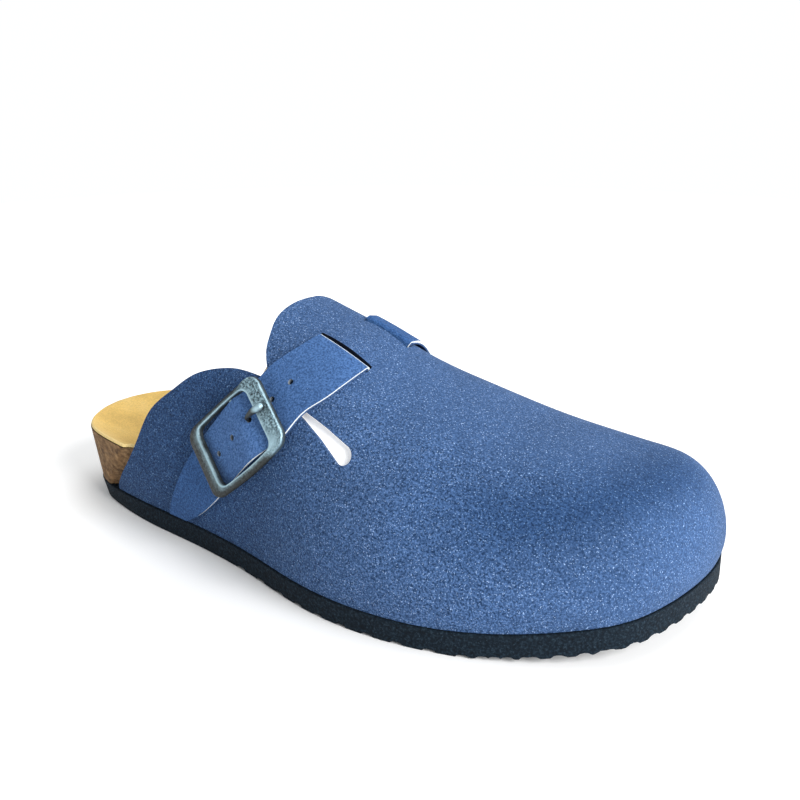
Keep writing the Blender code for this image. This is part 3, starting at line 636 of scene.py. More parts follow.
def sole_ring():
    """The outline's points in plan: from the heel by the lateral side to the toe, and back."""
    lateral = [(row.station, row.lateral) for row in OUTLINE]
    medial = [(row.station, row.medial) for row in OUTLINE]
    ring = np.array(lateral + medial[-2:0:-1]) * LENGTH
    points = np.vstack([ring[-OUTLINE_WRAP:], ring, ring[: OUTLINE_WRAP + 1]])
    spans = np.sqrt(np.linalg.norm(np.diff(points, axis=0), axis=1))
    knots = np.concatenate([[0], np.cumsum(spans)])
    first, last = knots[OUTLINE_WRAP], knots[OUTLINE_WRAP + len(ring)]
    at = np.linspace(first, last, OUTLINE_POINTS, endpoint=False)
    return spline(knots, points)(at)


def grown(ring, grow):
    """The ring moved outwards by a distance, or by a distance for each of its points."""
    along = np.roll(ring, -1, axis=0) - np.roll(ring, 1, axis=0)
    out = unit(np.column_stack([along[:, 1], -along[:, 0]]))
    return ring + out * np.reshape(grow, (-1, 1))


def side_lines(ring):
    """The ring's lateral and medial halves, each from heel to toe."""
    ring = np.roll(ring, -np.argmin(ring[:, 0]), axis=0)
    toe = np.argmax(ring[:, 0])
    return ring[: toe + 1], np.vstack([ring[toe:], ring[:1]])[::-1]


def spring(x):
    """How far the toe spring lifts the sole at x."""
    past = np.clip((np.asarray(x) / LENGTH - SPRING_START) / (1 - SPRING_START), 0, None)
    return TOE_SPRING * past**2


def ladder(ring, stations, columns):
    """Plan points in rows across the ring, from its heel end to its toe end."""
    lateral, medial = side_lines(ring)
    low, high = ring[:, 0].min(), ring[:, 0].max()
    x = low + (high - low) * np.asarray(stations)
    left = np.interp(x, lateral[:, 0], lateral[:, 1])
    right = np.interp(x, medial[:, 0], medial[:, 1])
    share = np.linspace(0, 1, columns + 1)
    y = left[:, None] * (1 - share) + right[:, None] * share
    return np.dstack([np.broadcast_to(x[:, None], y.shape), y])


def even_stations(count):
    """Rows from 0 to 1, closer together at both ends."""
    return (1 - np.cos(np.linspace(0, math.pi, count + 1))) / 2


OUTLINE_RING = sole_ring()
SOLE_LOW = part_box("outsole")[0]
HEEL = Matrix.Translation(
    (SOLE_LOW.x - OUTLINE_RING[:, 0].min(), SOLE_LOW.y - OUTLINE_RING[:, 1].min(), SOLE_LOW.z)
)


# Meshes

def add_grid(build, points, paint):
    """Adds a sheet of four-sided faces through a grid of points, in one of the piece's materials."""
    rows = [[build.verts.new(point) for point in row] for row in points]
    for near, far in zip(rows, rows[1:]):
        for i in range(len(near) - 1):
            face = build.faces.new((near[i], near[i + 1], far[i + 1], far[i]))
            face.material_index = paint


def closed_mesh(name, grids, paints):
    """One mesh from sheets that meet along their edges, each in its own material."""
    build = bmesh.new()
    for points, paint in zip(grids, paints):
        add_grid(build, points, paint)
    return welded(build, name)


def as_mesh(build, name):
    """The finished build as a mesh."""
    mesh = bpy.data.meshes.new(name)
    build.to_mesh(mesh)
    build.free()
    return mesh


def welded(build, name):
    """A mesh with its doubled points joined."""
    bmesh.ops.remove_doubles(build, verts=build.verts, dist=WELD)
    bmesh.ops.dissolve_degenerate(build, dist=WELD, edges=build.edges)
    bmesh.ops.recalc_face_normals(build, faces=build.faces)
    return as_mesh(build, name)


def rim_of(grid):
    """The border of a ladder grid, round and back to its first point."""
    return np.vstack([grid[:, 0], grid[::-1, -1], grid[:1, 0]])


def layered_mesh(name, layers, side_paint=0):
    """A closed solid: the first layer is its bottom, the last its top, and their rims are joined."""
    sides = np.array([rim_of(layer) for layer in layers])
    return closed_mesh(name, [layers[0], sides, layers[-1]], [0, side_paint, 0])


def raised(plan, height):
    """A plan grid with heights added."""
    return np.dstack([plan, np.broadcast_to(height, plan.shape[:2])])


def mark(mesh, name, values):
    """Stores a value for each corner point, for the material to read."""
    mesh.attributes.new(name, "FLOAT", "POINT").data.foreach_set("value", np.asarray(values, np.float32))


def in_scene(name, data):
    """A new object with this data."""
    made = bpy.data.objects.new(name, data)
    bpy.context.scene.collection.objects.link(made)
    return made


def new_object(name, mesh, materials):
    """An object moved from the heel's axes to the frame."""
    mesh.transform(HEEL)
    for material in materials:
        mesh.materials.append(material)
    return in_scene(name, mesh)


def baked(target):
    """Turns the object's modifiers into its mesh."""
    bpy.context.view_layer.update()
    graph = bpy.context.evaluated_depsgraph_get()
    mesh = bpy.data.meshes.new_from_object(target.evaluated_get(graph))
    target.modifiers.clear()
    target.data = mesh


def carve(target, cutter):
    """Cuts the cutter's form out of the target, and drops the cutter."""
    modifier = target.modifiers.new(cutter.name, "BOOLEAN")
    modifier.operation = "DIFFERENCE"
    modifier.object = cutter
    modifier.solver = "EXACT"
    modifier.material_mode = "TRANSFER"
    baked(target)
    bpy.data.objects.remove(cutter)


def stands_for(piece, node):
    """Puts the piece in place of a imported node, smooth but for its sharp edges."""
    piece.data.shade_smooth()
    piece.data.set_sharp_from_angle(angle=SMOOTH_BELOW)
    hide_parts(node)
    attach(piece, "root")


# Materials

class Nodes:
    """A node tree at hand."""

    def __init__(self, tree):
        self.tree = tree

    def feed(self, socket, value):
        """Sets a socket to a number or a colour, or links another node's output to it."""
        if isinstance(value, bpy.types.NodeSocket):
            self.tree.links.new(value, socket)
        else:
            socket.default_value = (*value, 1.0) if isinstance(value, tuple) else value

    def feed_all(self, node, inputs):
        """Feeds a node's inputs by name, with _ for each space."""
        for name, value in inputs.items():
            self.feed(node.inputs[name.replace("_", " ")], value)

    def node(self, kind, **inputs):
        """A new node of a kind, with some of its inputs fed."""
        made = self.tree.nodes.new("ShaderNode" + kind)
        self.feed_all(made, inputs)
        return made


class Paint(Nodes):
    """A material. Its textures are in metres, on the object itself."""

    def __init__(self, name, **inputs):
        self.material = bpy.data.materials.new(name)
        self.material.use_nodes = True
        super().__init__(self.material.node_tree)
        self.shader = self.tree.nodes["Principled BSDF"]
        self.place = self.node("TexCoord").outputs["Object"]
        self.look(**inputs)

    def look(self, **inputs):
        """Feeds the shader's own inputs."""
        self.feed_all(self.shader, inputs)

    def noise(self, size, detail, rough=0.5):
        """Soft blotches about this big."""
        made = self.node("TexNoise", Scale=1 / size, Detail=detail, Roughness=rough, Vector=self.place)
        return made.outputs["Fac"]

    def cells(self, size):
        """Grains about this big, each of one shade."""
        return self.node("TexVoronoi", Scale=1 / size, Vector=self.place).outputs["Color"]

    def attribute(self, name):
        """A value that is marked on the mesh's points."""
        made = self.node("Attribute")
        made.attribute_name = name
        return made.outputs["Fac"]

    def ramp(self, factor, *stops):
        """Colours or shades along a factor: (place, colour) pairs."""
        made = self.node("ValToRGB", Fac=factor)
        elements = made.color_ramp.elements
        while len(elements) < len(stops):
            elements.new(0.5)
        for element, (at, colour) in zip(elements, stops):
            element.position = at
            element.color = (*colour, 1.0) if isinstance(colour, tuple) else (colour, colour, colour, 1.0)
        return made.outputs["Color"]

    def mix(self, factor, first, second, blend="MIX"):
        """The first colour with the second over it, by a factor."""
        made = self.node("Mix")
        made.data_type = "RGBA"
        made.blend_type = blend
        shown = [socket for socket in made.inputs if socket.enabled]
        for socket, value in zip(shown, (factor, first, second)):
            self.feed(socket, value)
        return next(socket for socket in made.outputs if socket.enabled)

    def bump(self, *heights):
        """Heights as (output, metres) pairs, from the broadest to the finest."""
        before = {}
        for height, metres in heights:
            made = self.node("Bump", Strength=1.0, Distance=metres, Height=height, **before)
            before = {"Normal": made.outputs["Normal"]}
        self.look(**before)


def suede(name, dark, middle, light, fleck_share):
    """Napped leather: soft patches, a fine grain, pale flecks of lint, and painted shade where the mesh
    marks it.
    """
    paint = Paint(
        name, Roughness=0.92, Specular_IOR_Level=0.15,
        Sheen_Weight=0.10, Sheen_Roughness=0.45, Sheen_Tint=SUEDE_SHEEN,
    )
    patches = paint.noise(size=0.030, detail=3.0)
    grain = paint.noise(size=0.00072, detail=3.0, rough=0.64)
    nap = paint.ramp(grain, (0.365, dark), (0.50, middle), (0.635, light))
    softened = paint.mix(paint.attribute("soft"), nap, middle)
    shade = paint.ramp(patches, (0.30, 0.88), (0.70, 1.08))
    napped = paint.mix(1.0, softened, shade, "MULTIPLY")
    lint = paint.noise(size=0.00048, detail=1.0)
    flecks = paint.ramp(lint, (fleck_share, 0.0), (fleck_share + FLECK_EDGE, 1.0))
    flecked = paint.mix(flecks, napped, SUEDE_FLECK)
    # Painted shade, marked on the mesh, darkens the colour
    painted_shade = paint.ramp(paint.attribute("painted_shade"), (0.0, (1.0, 1.0, 1.0)), (1.0, PAINTED_SHADE_TINT))
    paint.look(Base_Color=paint.mix(1.0, flecked, painted_shade, "MULTIPLY"))
    waves = paint.noise(size=0.0040, detail=2.0)
    paint.bump((waves, 0.00012), (grain, 0.00035))
    return paint.material


def cut_edge(name, colour):
    """The fibres of a cut edge in one colour, used also for painted shade and a painted highlight."""
    paint = Paint(name, Roughness=0.9)
    fibres = paint.noise(size=0.0006, detail=2.0)
    darker = tuple(channel * EDGE_SHADE for channel in colour)
    paint.look(Base_Color=paint.ramp(fibres, (0.30, darker), (0.62, colour)))
    paint.bump((fibres, 0.0001))
    return paint.material


def tan_suede():
    """The lining over the footbed, rubbed and lightly stained."""
    paint = Paint("insole_suede", Roughness=0.88, Sheen_Weight=0.12, Specular_IOR_Level=0.2)
    stains = paint.noise(size=0.016, detail=4.0, rough=0.6)
    wear = paint.ramp(stains, (0.32, TAN_DARK), (0.52, TAN), (0.75, TAN_PALE))
    grain = paint.noise(size=0.0007, detail=2.0)
    shade = paint.ramp(grain, (0.30, 0.86), (0.70, 1.08))
    stained = paint.mix(STAIN_SHARE, TAN, wear)
    paint.look(Base_Color=paint.mix(1.0, stained, shade, "MULTIPLY"))
    paint.bump((grain, 0.0002))
    return paint.material


def cork():
    """Bonded cork grains with dark pores."""
    paint = Paint("cork_grain", Roughness=0.85, Specular_IOR_Level=0.25)
    tone = paint.ramp(paint.cells(size=0.0026), (0.10, CORK_DARK), (0.45, CORK), (0.90, CORK_PALE))
    pores = paint.noise(size=0.0022, detail=4.0, rough=0.65)
    mottle = paint.ramp(pores, (0.36, CORK_DARK), (0.50, CORK), (0.68, CORK_PALE))
    paint.look(Base_Color=paint.mix(MOTTLE_SHARE, tone, mottle))
    lumps = paint.noise(size=0.0030, detail=3.0)
    pits = paint.noise(size=0.0008, detail=2.0)
    paint.bump((lumps, 0.0004), (pits, 0.00025))
    return paint.material


def foam_rubber():
    """Speckled foam rubber, blue-black."""
    paint = Paint("outsole_foam", Roughness=0.85, Specular_IOR_Level=0.15)
    grain = paint.noise(size=0.0009, detail=3.0, rough=0.65)
    tone = paint.ramp(grain, (0.30, RUBBER_DARK), (0.50, RUBBER), (0.76, RUBBER_PALE))
    dots = paint.noise(size=0.0008, detail=1.0)
    specks = paint.ramp(dots, (0.68, 0.0), (0.74, 1.0))
    paint.look(Base_Color=paint.mix(specks, tone, RUBBER_PALE))
    lumps = paint.noise(size=0.0032, detail=2.0)
    paint.bump((lumps, 0.0004), (grain, 0.0004))
    return paint.material


def pewter():
    """Antiqued metal: dark in its pits, most mottled on the wide bar, with the painted highlights and
    painted shade that the mesh marks.
    """
    paint = Paint("buckle_pewter", Metallic=0.85)
    pits = paint.noise(size=0.0009, detail=4.0, rough=0.7)
    blotches = paint.noise(size=0.0034, detail=3.0)
    plain = paint.ramp(blotches, (0.30, PEWTER_DARK), (0.46, PEWTER), (0.72, PEWTER_PALE))
    mottled = paint.ramp(pits, (0.37, PEWTER_DARK), (0.49, PEWTER), (0.62, PEWTER_PALE))
    face = paint.mix(paint.attribute("wide"), plain, mottled)
    # Painted highlight, then painted shade, as the mesh marks them
    highlit = paint.mix(paint.attribute("rubbed"), face, PEWTER_PALE)
    paint.look(Base_Color=paint.mix(paint.attribute("sooty"), highlit, SHADE_ON_METAL))
    paint.look(Roughness=paint.ramp(pits, (0.35, 0.66), (0.65, 0.40)))
    paint.bump((blotches, 0.0002), (pits, 0.00022))
    return paint.material


def lining_cloth():
    """Thin pale cloth with painted light: it glows by itself."""
    paint = Paint("lining_cloth", Roughness=0.9, Base_Color=LINING)
    # Painted light: the cloth glows
    paint.look(Emission_Color=LINING, Emission_Strength=LINING_GLOW)
    weave = paint.noise(size=0.0008, detail=2.0)
    paint.bump((weave, 0.0001))
    return paint.material


def floor_paper():
    """White paper that glows more away from the shoe."""
    paint = Paint("floor_paper", Roughness=0.9, Base_Color=FLOOR, Emission_Strength=FLOOR_GLOW)
    away = paint.node("VectorMath", Vector=paint.place)
    away.operation = "LENGTH"
    near, far = GLOW_BAND
    paint.look(Emission_Color=paint.ramp(away.outputs["Value"], (near, 0.0), (far, 1.0)))
    return paint.material


# Sole

def underside(x):
    """Height of the outsole's underside, which springs up less at the toe than the foot does."""
    return np.maximum(spring(x) - TOE_DROP, 0.0)


def groove(start):
    """Sheets of one wavy groove's cutter: a wide mouth under the sole, narrower at the groove's floor."""
    lateral, medial = side_lines(OUTLINE_RING)
    past = GROOVE_OPEN if start > OPEN_FROM * LENGTH else -GROOVE_KEEP
    y = np.linspace(
        np.interp(start, lateral[:, 0], lateral[:, 1]) - past,
        np.interp(start, medial[:, 0], medial[:, 1]) + past, GROOVE_STEPS + 1,
    )
    x = start + GROOVE_WAVE * np.sin(2 * math.pi * y / GROOVE_WAVELENGTH)
    level = underside(x)
    outward = np.abs(np.linspace(-1, 1, len(y)))
    depth = GROOVE_DEPTH * (1 - (1 - GROOVE_EDGE_DEPTH) * smooth_step(*GROOVE_RISES, outward))
    loop = [np.column_stack([x + width / 2, y, level + share * depth]) for width, share in GROOVE_SECTION]
    loop.append(loop[0])
    return np.array(loop)


def edge_notch(spot, way):
    """One small notch's cutter across the sole's edge, at a spot of its outline and along its normal."""
    side = np.array([-way[1], way[0]])
    run = np.array([-NOTCH_IN, NOTCH_OUT])
    loop = []
    for share, height in NOTCH_SECTION:
        plan = spot + np.outer(run, way) + share * NOTCH_WIDTH / 2 * side
        loop.append(np.column_stack([plan, underside(plan[:, 0]) + height * NOTCH_DEPTH]))
    loop.append(loop[0])
    return np.array(loop)


def toe_notches():
    """Cutters of the small notches that show along the edge round the toe."""
    ring = np.vstack([OUTLINE_RING, OUTLINE_RING[:1]])
    run = run_along(ring)
    for at in np.arange(0, run[-1] - NOTCH_PITCH, NOTCH_PITCH):
        near, spot, far = at_run(at + np.array([-NOTCH_WIDTH, 0, NOTCH_WIDTH]), run, ring)
        if spot[0] > NOTCH_FROM * LENGTH:
            way = unit(np.array([(far - near)[1], -(far - near)[0]]))
            yield edge_notch(spot, way * np.sign(way @ (spot - ring.mean(axis=0))))


def grooves():
    """Cutters of the wavy grooves across the sole, from heel to toe."""
    count = int((LENGTH - GROOVE_FIRST - GROOVE_LAST) / GROOVE_PITCH) + 1
    for number in range(count):
        yield groove(GROOVE_FIRST + number * GROOVE_PITCH)


def tread_cutter(name, loops, material):
    """One object of closed bars, each from its loop of lines."""
    build = bmesh.new()
    for loop in loops:
        add_grid(build, loop, 0)
        for end in (0, -1):
            build.faces.new([build.verts.new(point) for point in loop[:-1, end]])
    return new_object(name, welded(build, name), [material])


def make_outsole():
    stations = even_stations(SOLE_ROWS)
    layers = []
    heel = 1 - smooth_step(*HEEL_BEVEL_FADES, OUTLINE_RING[:, 0] / LENGTH)
    for grow, level in SOLE_SIDE:
        bevel = HEEL_BEVEL * heel * (1 - level / OUTSOLE_THICK) ** 2
        plan = ladder(grown(OUTLINE_RING, grow - bevel), stations, 1)
        base = underside if level <= SOLE_EDGE_ROUND else spring
        layers.append(raised(plan, base(plan[:, :, 0]) + level))
    foam = foam_rubber()
    outsole = new_object("outsole_foam_rubber", layered_mesh("outsole", layers), [foam])
    carve(outsole, tread_cutter("tread_grooves", grooves(), foam))
    carve(outsole, tread_cutter("toe_notches", toe_notches(), foam))
    stands_for(outsole, "outsole")


# Footbed and insole

def footbed_grow(ring, share):
    """How far the footbed's side stands out at each outline point, from its bottom (0) to its rim (1)."""
    station = ring[:, 0] / LENGTH
    bare = HEEL_BOTTOM_GROW + (HEEL_RIM_GROW - HEEL_BOTTOM_GROW) * share
    rim = table_curve(COVERED_RIM_GROW, "station", "grow")(station)
    covered = COVERED_BOTTOM_GROW + (rim - COVERED_BOTTOM_GROW) * share
    end = BARE_BOTTOM_END + (BARE_RIM_END - BARE_BOTTOM_END) * share
    hidden = smooth_step(end - BARE_BLEND, end, station)
    return bare * (1 - hidden) + covered * hidden


def footbed_top(plan):
    """Height of the footbed at the points of a ladder grid: a cup that rises to both rims."""
    x = plan[:, :1, 0]
    station = np.clip(x / LENGTH, 0, 1)
    middle, lateral, medial = (
        table_curve(FOOTBED, "station", name)(station) for name in ("middle", "lateral_rim", "medial_rim")
    )
    across = np.linspace(-1, 1, plan.shape[1])
    rim = np.where(across < 0, lateral, medial)
    return middle + (rim - middle) * np.abs(across) ** CUP_POWER + spring(x)


def footbed_stations():
    """Rows with more of them where the upper starts to cover the footbed's side."""
    step_rows = np.linspace(BARE_BOTTOM_END - BARE_BLEND, BARE_RIM_END, BARE_ROWS)
    rows = np.sort(np.concatenate([even_stations(FOOTBED_ROWS), step_rows]))
    keep = np.concatenate([[True], np.diff(rows) > CLOSEST_ROWS])
    keep[-1] = True
    return rows[keep]


def make_footbed():
    stations = footbed_stations()
    layers = []
    for layer in range(FOOTBED_LAYERS + 1):
        share = layer / FOOTBED_LAYERS
        columns = FOOTBED_COLUMNS if layer == FOOTBED_LAYERS else 1
        plan = ladder(grown(OUTLINE_RING, footbed_grow(OUTLINE_RING, share)), stations, columns)
        foot = spring(plan[:, :, 0]) + OUTSOLE_THICK + GAP
        layers.append(raised(plan, foot + (footbed_top(plan) - foot) * share))
    footbed = new_object("footbed_cork", layered_mesh("footbed", layers), [cork()])
    stands_for(footbed, "cork_footbed")


def make_insole():
    stations = footbed_stations()
    rim = footbed_grow(OUTLINE_RING, 1.0) - INSOLE_INSET
    layers = []
    for inset, share in INSOLE_SIDE:
        plan = ladder(grown(OUTLINE_RING, rim - inset), stations, FOOTBED_COLUMNS)
        layers.append(raised(plan, footbed_top(plan) + GAP + INSOLE_THICK * share))
    # The rim's pale cut-edge colour also serves as a painted highlight along the lit rim
    paints = [tan_suede(), cut_edge("insole_rim_highlight", TAN_PALE)]
    insole = new_object("insole_lining", layered_mesh("insole", layers, 1), paints)
    stands_for(insole, "insole")


# Upper

class Last:
    """The upper's outer surface: ribs from the sole's edge over a ridge, fanning round the toe.

    "along" is station / FAN_START up to 1, and from 1 to 2 the way round the toe. "girth" is -1 at the
    lateral sole edge, 0 on the ridge and 1 at the medial sole edge.
    """

    def __init__(self, ring):
        lateral, medial = side_lines(grown(ring, -UPPER_INSET))
        self.sides = {-1: self.measured(lateral), 1: self.measured(medial)}
        self.height, self.side, self.fullness, self.bulge = (
            table_curve(SECTIONS, "station", name) for name in ("height", "side", "fullness", "bulge")
        )

    @staticmethod
    def measured(line):
        """A side of the sole with the distance along it, and that where the fan starts."""
        run = run_along(line)
        return line, run, np.interp(FAN_START * LENGTH, line[:, 0], run)

    def sole_edge(self, along, side):
        """Plan points of the sole's edge where the ribs end."""
        line, run, fan = self.sides[side]
        back = np.interp(np.clip(along, 0, 1) * FAN_START * LENGTH, line[:, 0], run)
        front = fan + (np.clip(along, 1, 2) - 1) * (run[-1] - fan)
        at = np.where(along <= 1, back, front)
        return at_run(at, run, line)

    def ridge_station(self, along):
        """Station of the ridge where the ribs start."""
        round_toe = np.clip(along - 1, 0, 1)
        front = FAN_START + (RIDGE_END - FAN_START) * (1 - (1 - round_toe) ** FAN_POWER)
        return np.where(along <= 1, along * FAN_START, front)

    def point(self, along, girth):
        along, girth = np.broadcast_arrays(np.asarray(along, float), np.asarray(girth, float))
        lateral = (girth < 0)[..., None]
        edge = np.where(lateral, self.sole_edge(along, -1), self.sole_edge(along, 1))
        station = self.ridge_station(along)
        ridge = np.stack([station * LENGTH, self.side(station)], axis=-1)
        turn = np.clip(np.abs(girth), 0, 1) * math.pi / 2
        power = 2 / self.fullness(station)
        out = np.sin(turn) ** power
        up = np.cos(turn) ** power
        rib = edge - ridge
        swell = up / BULGE_PEAK * np.exp(1 - up / BULGE_PEAK)
        reach = out + self.bulge(station) * swell / np.linalg.norm(rib, axis=-1)
        foot = spring(edge[..., 0]) + OUTSOLE_THICK + GAP
        height = foot + (self.height(station) - foot) * up
        return np.concatenate([ridge + rib * reach[..., None], height[..., None]], axis=-1)

    def normal(self, along, girth):
        step = NORMAL_STEP
        girth = np.clip(girth, -1 + step, 1 - step)
        forward = self.point(along + step, girth) - self.point(along - step, girth)
        over = self.point(along, girth + step) - self.point(along, girth - step)
        return unit(np.cross(forward, over))

    def off(self, along, girth, distance):
        """A point this far outside the surface."""
        return self.point(along, girth) + self.normal(along, girth) * np.asarray(distance)[..., None]


def to_pattern(station, girth):
    """A point of the upper's flat pattern, or a row of x and one of y."""
    return np.array([station * LENGTH, girth * GIRTH_REACH])


def edge_line(rows):
    """Pattern points along part of the back edge, at even steps."""
    girths = np.linspace(rows[0].girth, rows[-1].girth, EDGE_SAMPLES)
    stations = table_curve(rows, "girth", "station")(girths)
    return even_line(to_pattern(stations, girths).T, EDGE_STEP)


def even_line(points, step):
    """The polyline resampled at even distances near the given step, with both its ends."""
    run = run_along(points)
    at = np.linspace(0, run[-1], max(2, round(run[-1] / step) + 1))
    return at_run(at, run, points)


def keyhole_line():
    """Pattern points down one side of the keyhole, round its end and back."""
    centres = [to_pattern(row.station, row.girth) for row in KEYHOLE]
    lower, upper = [], []
    for i, row in enumerate(KEYHOLE[:-1]):
        way = centres[i + 1] - centres[i]
        across = unit(np.array([-way[1], way[0]])) * row.radius
        lower.append(centres[i] - across)
        upper.append(centres[i] + across)
    way = centres[-1] - centres[-2]
    heading = math.atan2(way[1], way[0])
    turns = heading + np.linspace(-KEYHOLE_END_TURN, KEYHOLE_END_TURN, KEYHOLE_END_STEPS + 1)
    end = centres[-1] + KEYHOLE[-1].radius * np.column_stack([np.cos(turns), np.sin(turns)])
    return np.vstack([lower, end, upper[::-1]])


def slit_line(route, girth, width):
    """Pattern points round a strap slit, from the lip that the strap bends over to the other lip."""
    back, front = strap_edges(girth) * LENGTH
    other = route.girth_at(route.run_at(girth) + width)
    low, high = np.sort([girth, other]) * GIRTH_REACH
    steps = np.linspace(back - SLIT_END_CLEAR, front + SLIT_END_CLEAR, SLIT_STEPS + 1)
    below = np.column_stack([steps, np.full_like(steps, low)])
    above = np.column_stack([steps[::-1], np.full_like(steps, high)])
    return np.vstack([below, above])


def inside(points, ring):
    """Which points lie inside a closed ring, by counting crossings."""
    x, y = points[:, 0], points[:, 1]
    found = np.zeros(len(points), bool)
    for (ax, ay), (bx, by) in zip(ring, np.roll(ring, -1, axis=0)):
        spans = (ay > y) != (by > y)
        run = by - ay if by != ay else 1.0
        found ^= spans & (x < ax + (y - ay) / run * (bx - ax))
    return found


def on_pattern(points, border, slits):
    """Which points lie inside the border and outside the slits."""
    found = inside(points, border)
    for slit in slits:
        found &= ~inside(points, slit)
    return found


def upper_pattern(route):
    """The flat pattern: its border and its two slits."""
    wing = edge_line(LATERAL_WING)
    tongue = edge_line(TONGUE_AND_MEDIAL_WING)
    toe = 2 * FAN_START * LENGTH
    toe_girths = np.linspace(1, -1, GIRTH_COLUMNS + 1) * GIRTH_REACH
    front = np.column_stack([np.full(GIRTH_COLUMNS + 1, toe), toe_girths])
    medial = even_line(np.array([tongue[-1], front[0]]), PATTERN_STEP)
    lateral = even_line(np.array([front[-1], wing[0]]), PATTERN_STEP)
    border = np.vstack([wing[:-1], keyhole_line(), tongue[1:-1], medial[:-1], front[:-1], lateral[:-1]])
    slits = [slit_line(route, LATERAL_SLIT, SLIT_WIDTH), slit_line(route, MEDIAL_SLIT, -SLIT_WIDTH)]
    return border[::-1], slits


def pattern_fill(border, slits):
    """Inner points of the pattern, on a grid that keeps clear of its edges."""
    back = np.arange(0, FAN_START * LENGTH, PATTERN_STEP)
    front = FAN_START * LENGTH * (1 + np.linspace(0, 1, TOE_RIBS + 1)[:-1])
    girths = np.linspace(-1, 1, GIRTH_COLUMNS + 1)[1:-1] * GIRTH_REACH
    grid = np.array([(x, y) for x in np.concatenate([back, front]) for y in girths])
    keep = on_pattern(grid, border, slits)
    for line in (border, *slits):
        for start, end in zip(line, np.roll(line, -1, axis=0)):
            way = end - start
            share = np.clip((grid - start) @ way / max(way @ way, WELD**2), 0, 1)
            keep &= np.linalg.norm(grid - start - share[:, None] * way, axis=1) > EDGE_CLEAR
    return grid[keep]


def toe_relief(points):
    """Height over the plain surface of the trough and the swell ahead of it, and the painted shade along
    the trough.
    """
    middle = table_curve(TROUGH, "across", "along")
    across = np.clip(points[:, 1], TROUGH[0].across, TROUGH[-1].across)
    step = TROUGH_SLOPE_STEP
    slope = (middle(across + step) - middle(across - step)) / (2 * step)
    ahead = (points[:, 0] - middle(across)) / np.sqrt(1 + slope**2)
    fade = smooth_step(*TROUGH_GROWS, points[:, 1]) * (1 - smooth_step(*TROUGH_FADES, points[:, 1]))
    width = np.where(ahead < 0, TROUGH_BEHIND, TROUGH_AHEAD)
    trough = bell(ahead / width) * fade
    swell = bell((ahead - SWELL_AHEAD) / SWELL_WIDTH) * fade
    return SWELL_HEIGHT * swell - TROUGH_DEPTH * trough, TROUGH_DARK * trough


def bridge_relief(route, flat):
    """Height of the bridge's lips over the plain surface, most at the middle of each slit."""
    rise = np.zeros(len(flat))
    run = route.run_at(flat[:, 1] / GIRTH_REACH)
    for girth, way in ((LATERAL_SLIT, 1), (MEDIAL_SLIT, -1)):
        back, front = strap_edges(girth) * LENGTH
        share = np.clip((flat[:, 0] - back) / (front - back), 0, 1)
        past = (run - route.run_at(girth)) * way - SLIT_WIDTH
        on_bridge = past > -SLIT_WIDTH / 2
        fall = bell(np.clip(past, 0, None) / LIP_REACH)
        rise += np.where(on_bridge, LIP_RISE * np.sin(share * math.pi) ** LIP_ROUND * fall, 0.0)
    return rise


def shade_slits(upper, last):
    """The slits' cut faces lie in the dark, so they take a dark material."""
    slits = (LATERAL_SLIT, MEDIAL_SLIT)
    centres = [HEEL @ Vector(last.point(strap_along(girth, MIDDLE), girth)) for girth in slits]
    for face in upper.data.polygons:
        away = min((face.center - spot).length for spot in centres)
        if away < SLIT_NEAR and face.material_index == RIM_PAINT:
            face.material_index = SLIT_PAINT


def flat_upper(route):
    """The upper's flat points and its three-sided faces, between the border and the slits."""
    border, slits = upper_pattern(route)
    points, edges = list(pattern_fill(border, slits)), []
    for line in (border, *slits):
        first = len(points)
        points += list(line)
        edges += [(first + i, first + (i + 1) % len(line)) for i in range(len(line))]
    flat, _, faces, *_ = delaunay_2d_cdt([Vector(p) for p in points], edges, [], 0, PATTERN_NEAR)
    flat = np.array(flat)
    centres = np.array([flat[face].mean(axis=0) for face in faces])
    kept = on_pattern(centres, border, slits)
    return flat, [face for face, keep in zip(faces, kept) if keep]


def upper_sheet(last, route):
    """The upper's outer face, with its relief and the marks that its suede reads: painted shade and a
    softer nap.
    """
    flat, faces = flat_upper(route)
    along = flat[:, 0] / (FAN_START * LENGTH)
    girth = flat[:, 1] / GIRTH_REACH
    placed = last.point(along, girth)
    relief, darkened = toe_relief(placed)
    edge_fade = 1 - smooth_step(*RELIEF_FADES, np.abs(girth))
    placed += (relief * edge_fade)[:, None] * RELIEF_WAY
    lips = bridge_relief(route, flat)
    raised_lips = lips > WELD
    placed[raised_lips] += last.normal(along, girth)[raised_lips] * lips[raised_lips, None]
    station = last.ridge_station(along)
    # Painted shade on the outer side towards the heel, where it faces away from the lamps, over that
    # along the trough
    behind = 1 - smooth_step(*DARK_SIDE_STATIONS, station)
    darkened = np.maximum(darkened, DARK_SIDE * behind * smooth_step(*DARK_SIDE_GIRTHS, -girth))
    on_top = 1 - smooth_step(*SOFT_GIRTHS, np.abs(girth))
    softened = SOFT_NAP * np.maximum(on_top, smooth_step(*SOFT_STATIONS, station))
    build = bmesh.new()
    painted_shade = build.verts.layers.float.new("painted_shade")
    soft = build.verts.layers.float.new("soft")
    corners = [build.verts.new(point) for point in placed]
    for corner, shade, ease in zip(corners, darkened, softened):
        corner[painted_shade] = shade
        corner[soft] = ease
    for face in faces:
        build.faces.new([corners[i] for i in face])
    bmesh.ops.delete(build, geom=[v for v in build.verts if not v.link_faces], context="VERTS")
    bmesh.ops.remove_doubles(build, verts=build.verts, dist=PATTERN_WELD)
    return as_mesh(build, "upper")


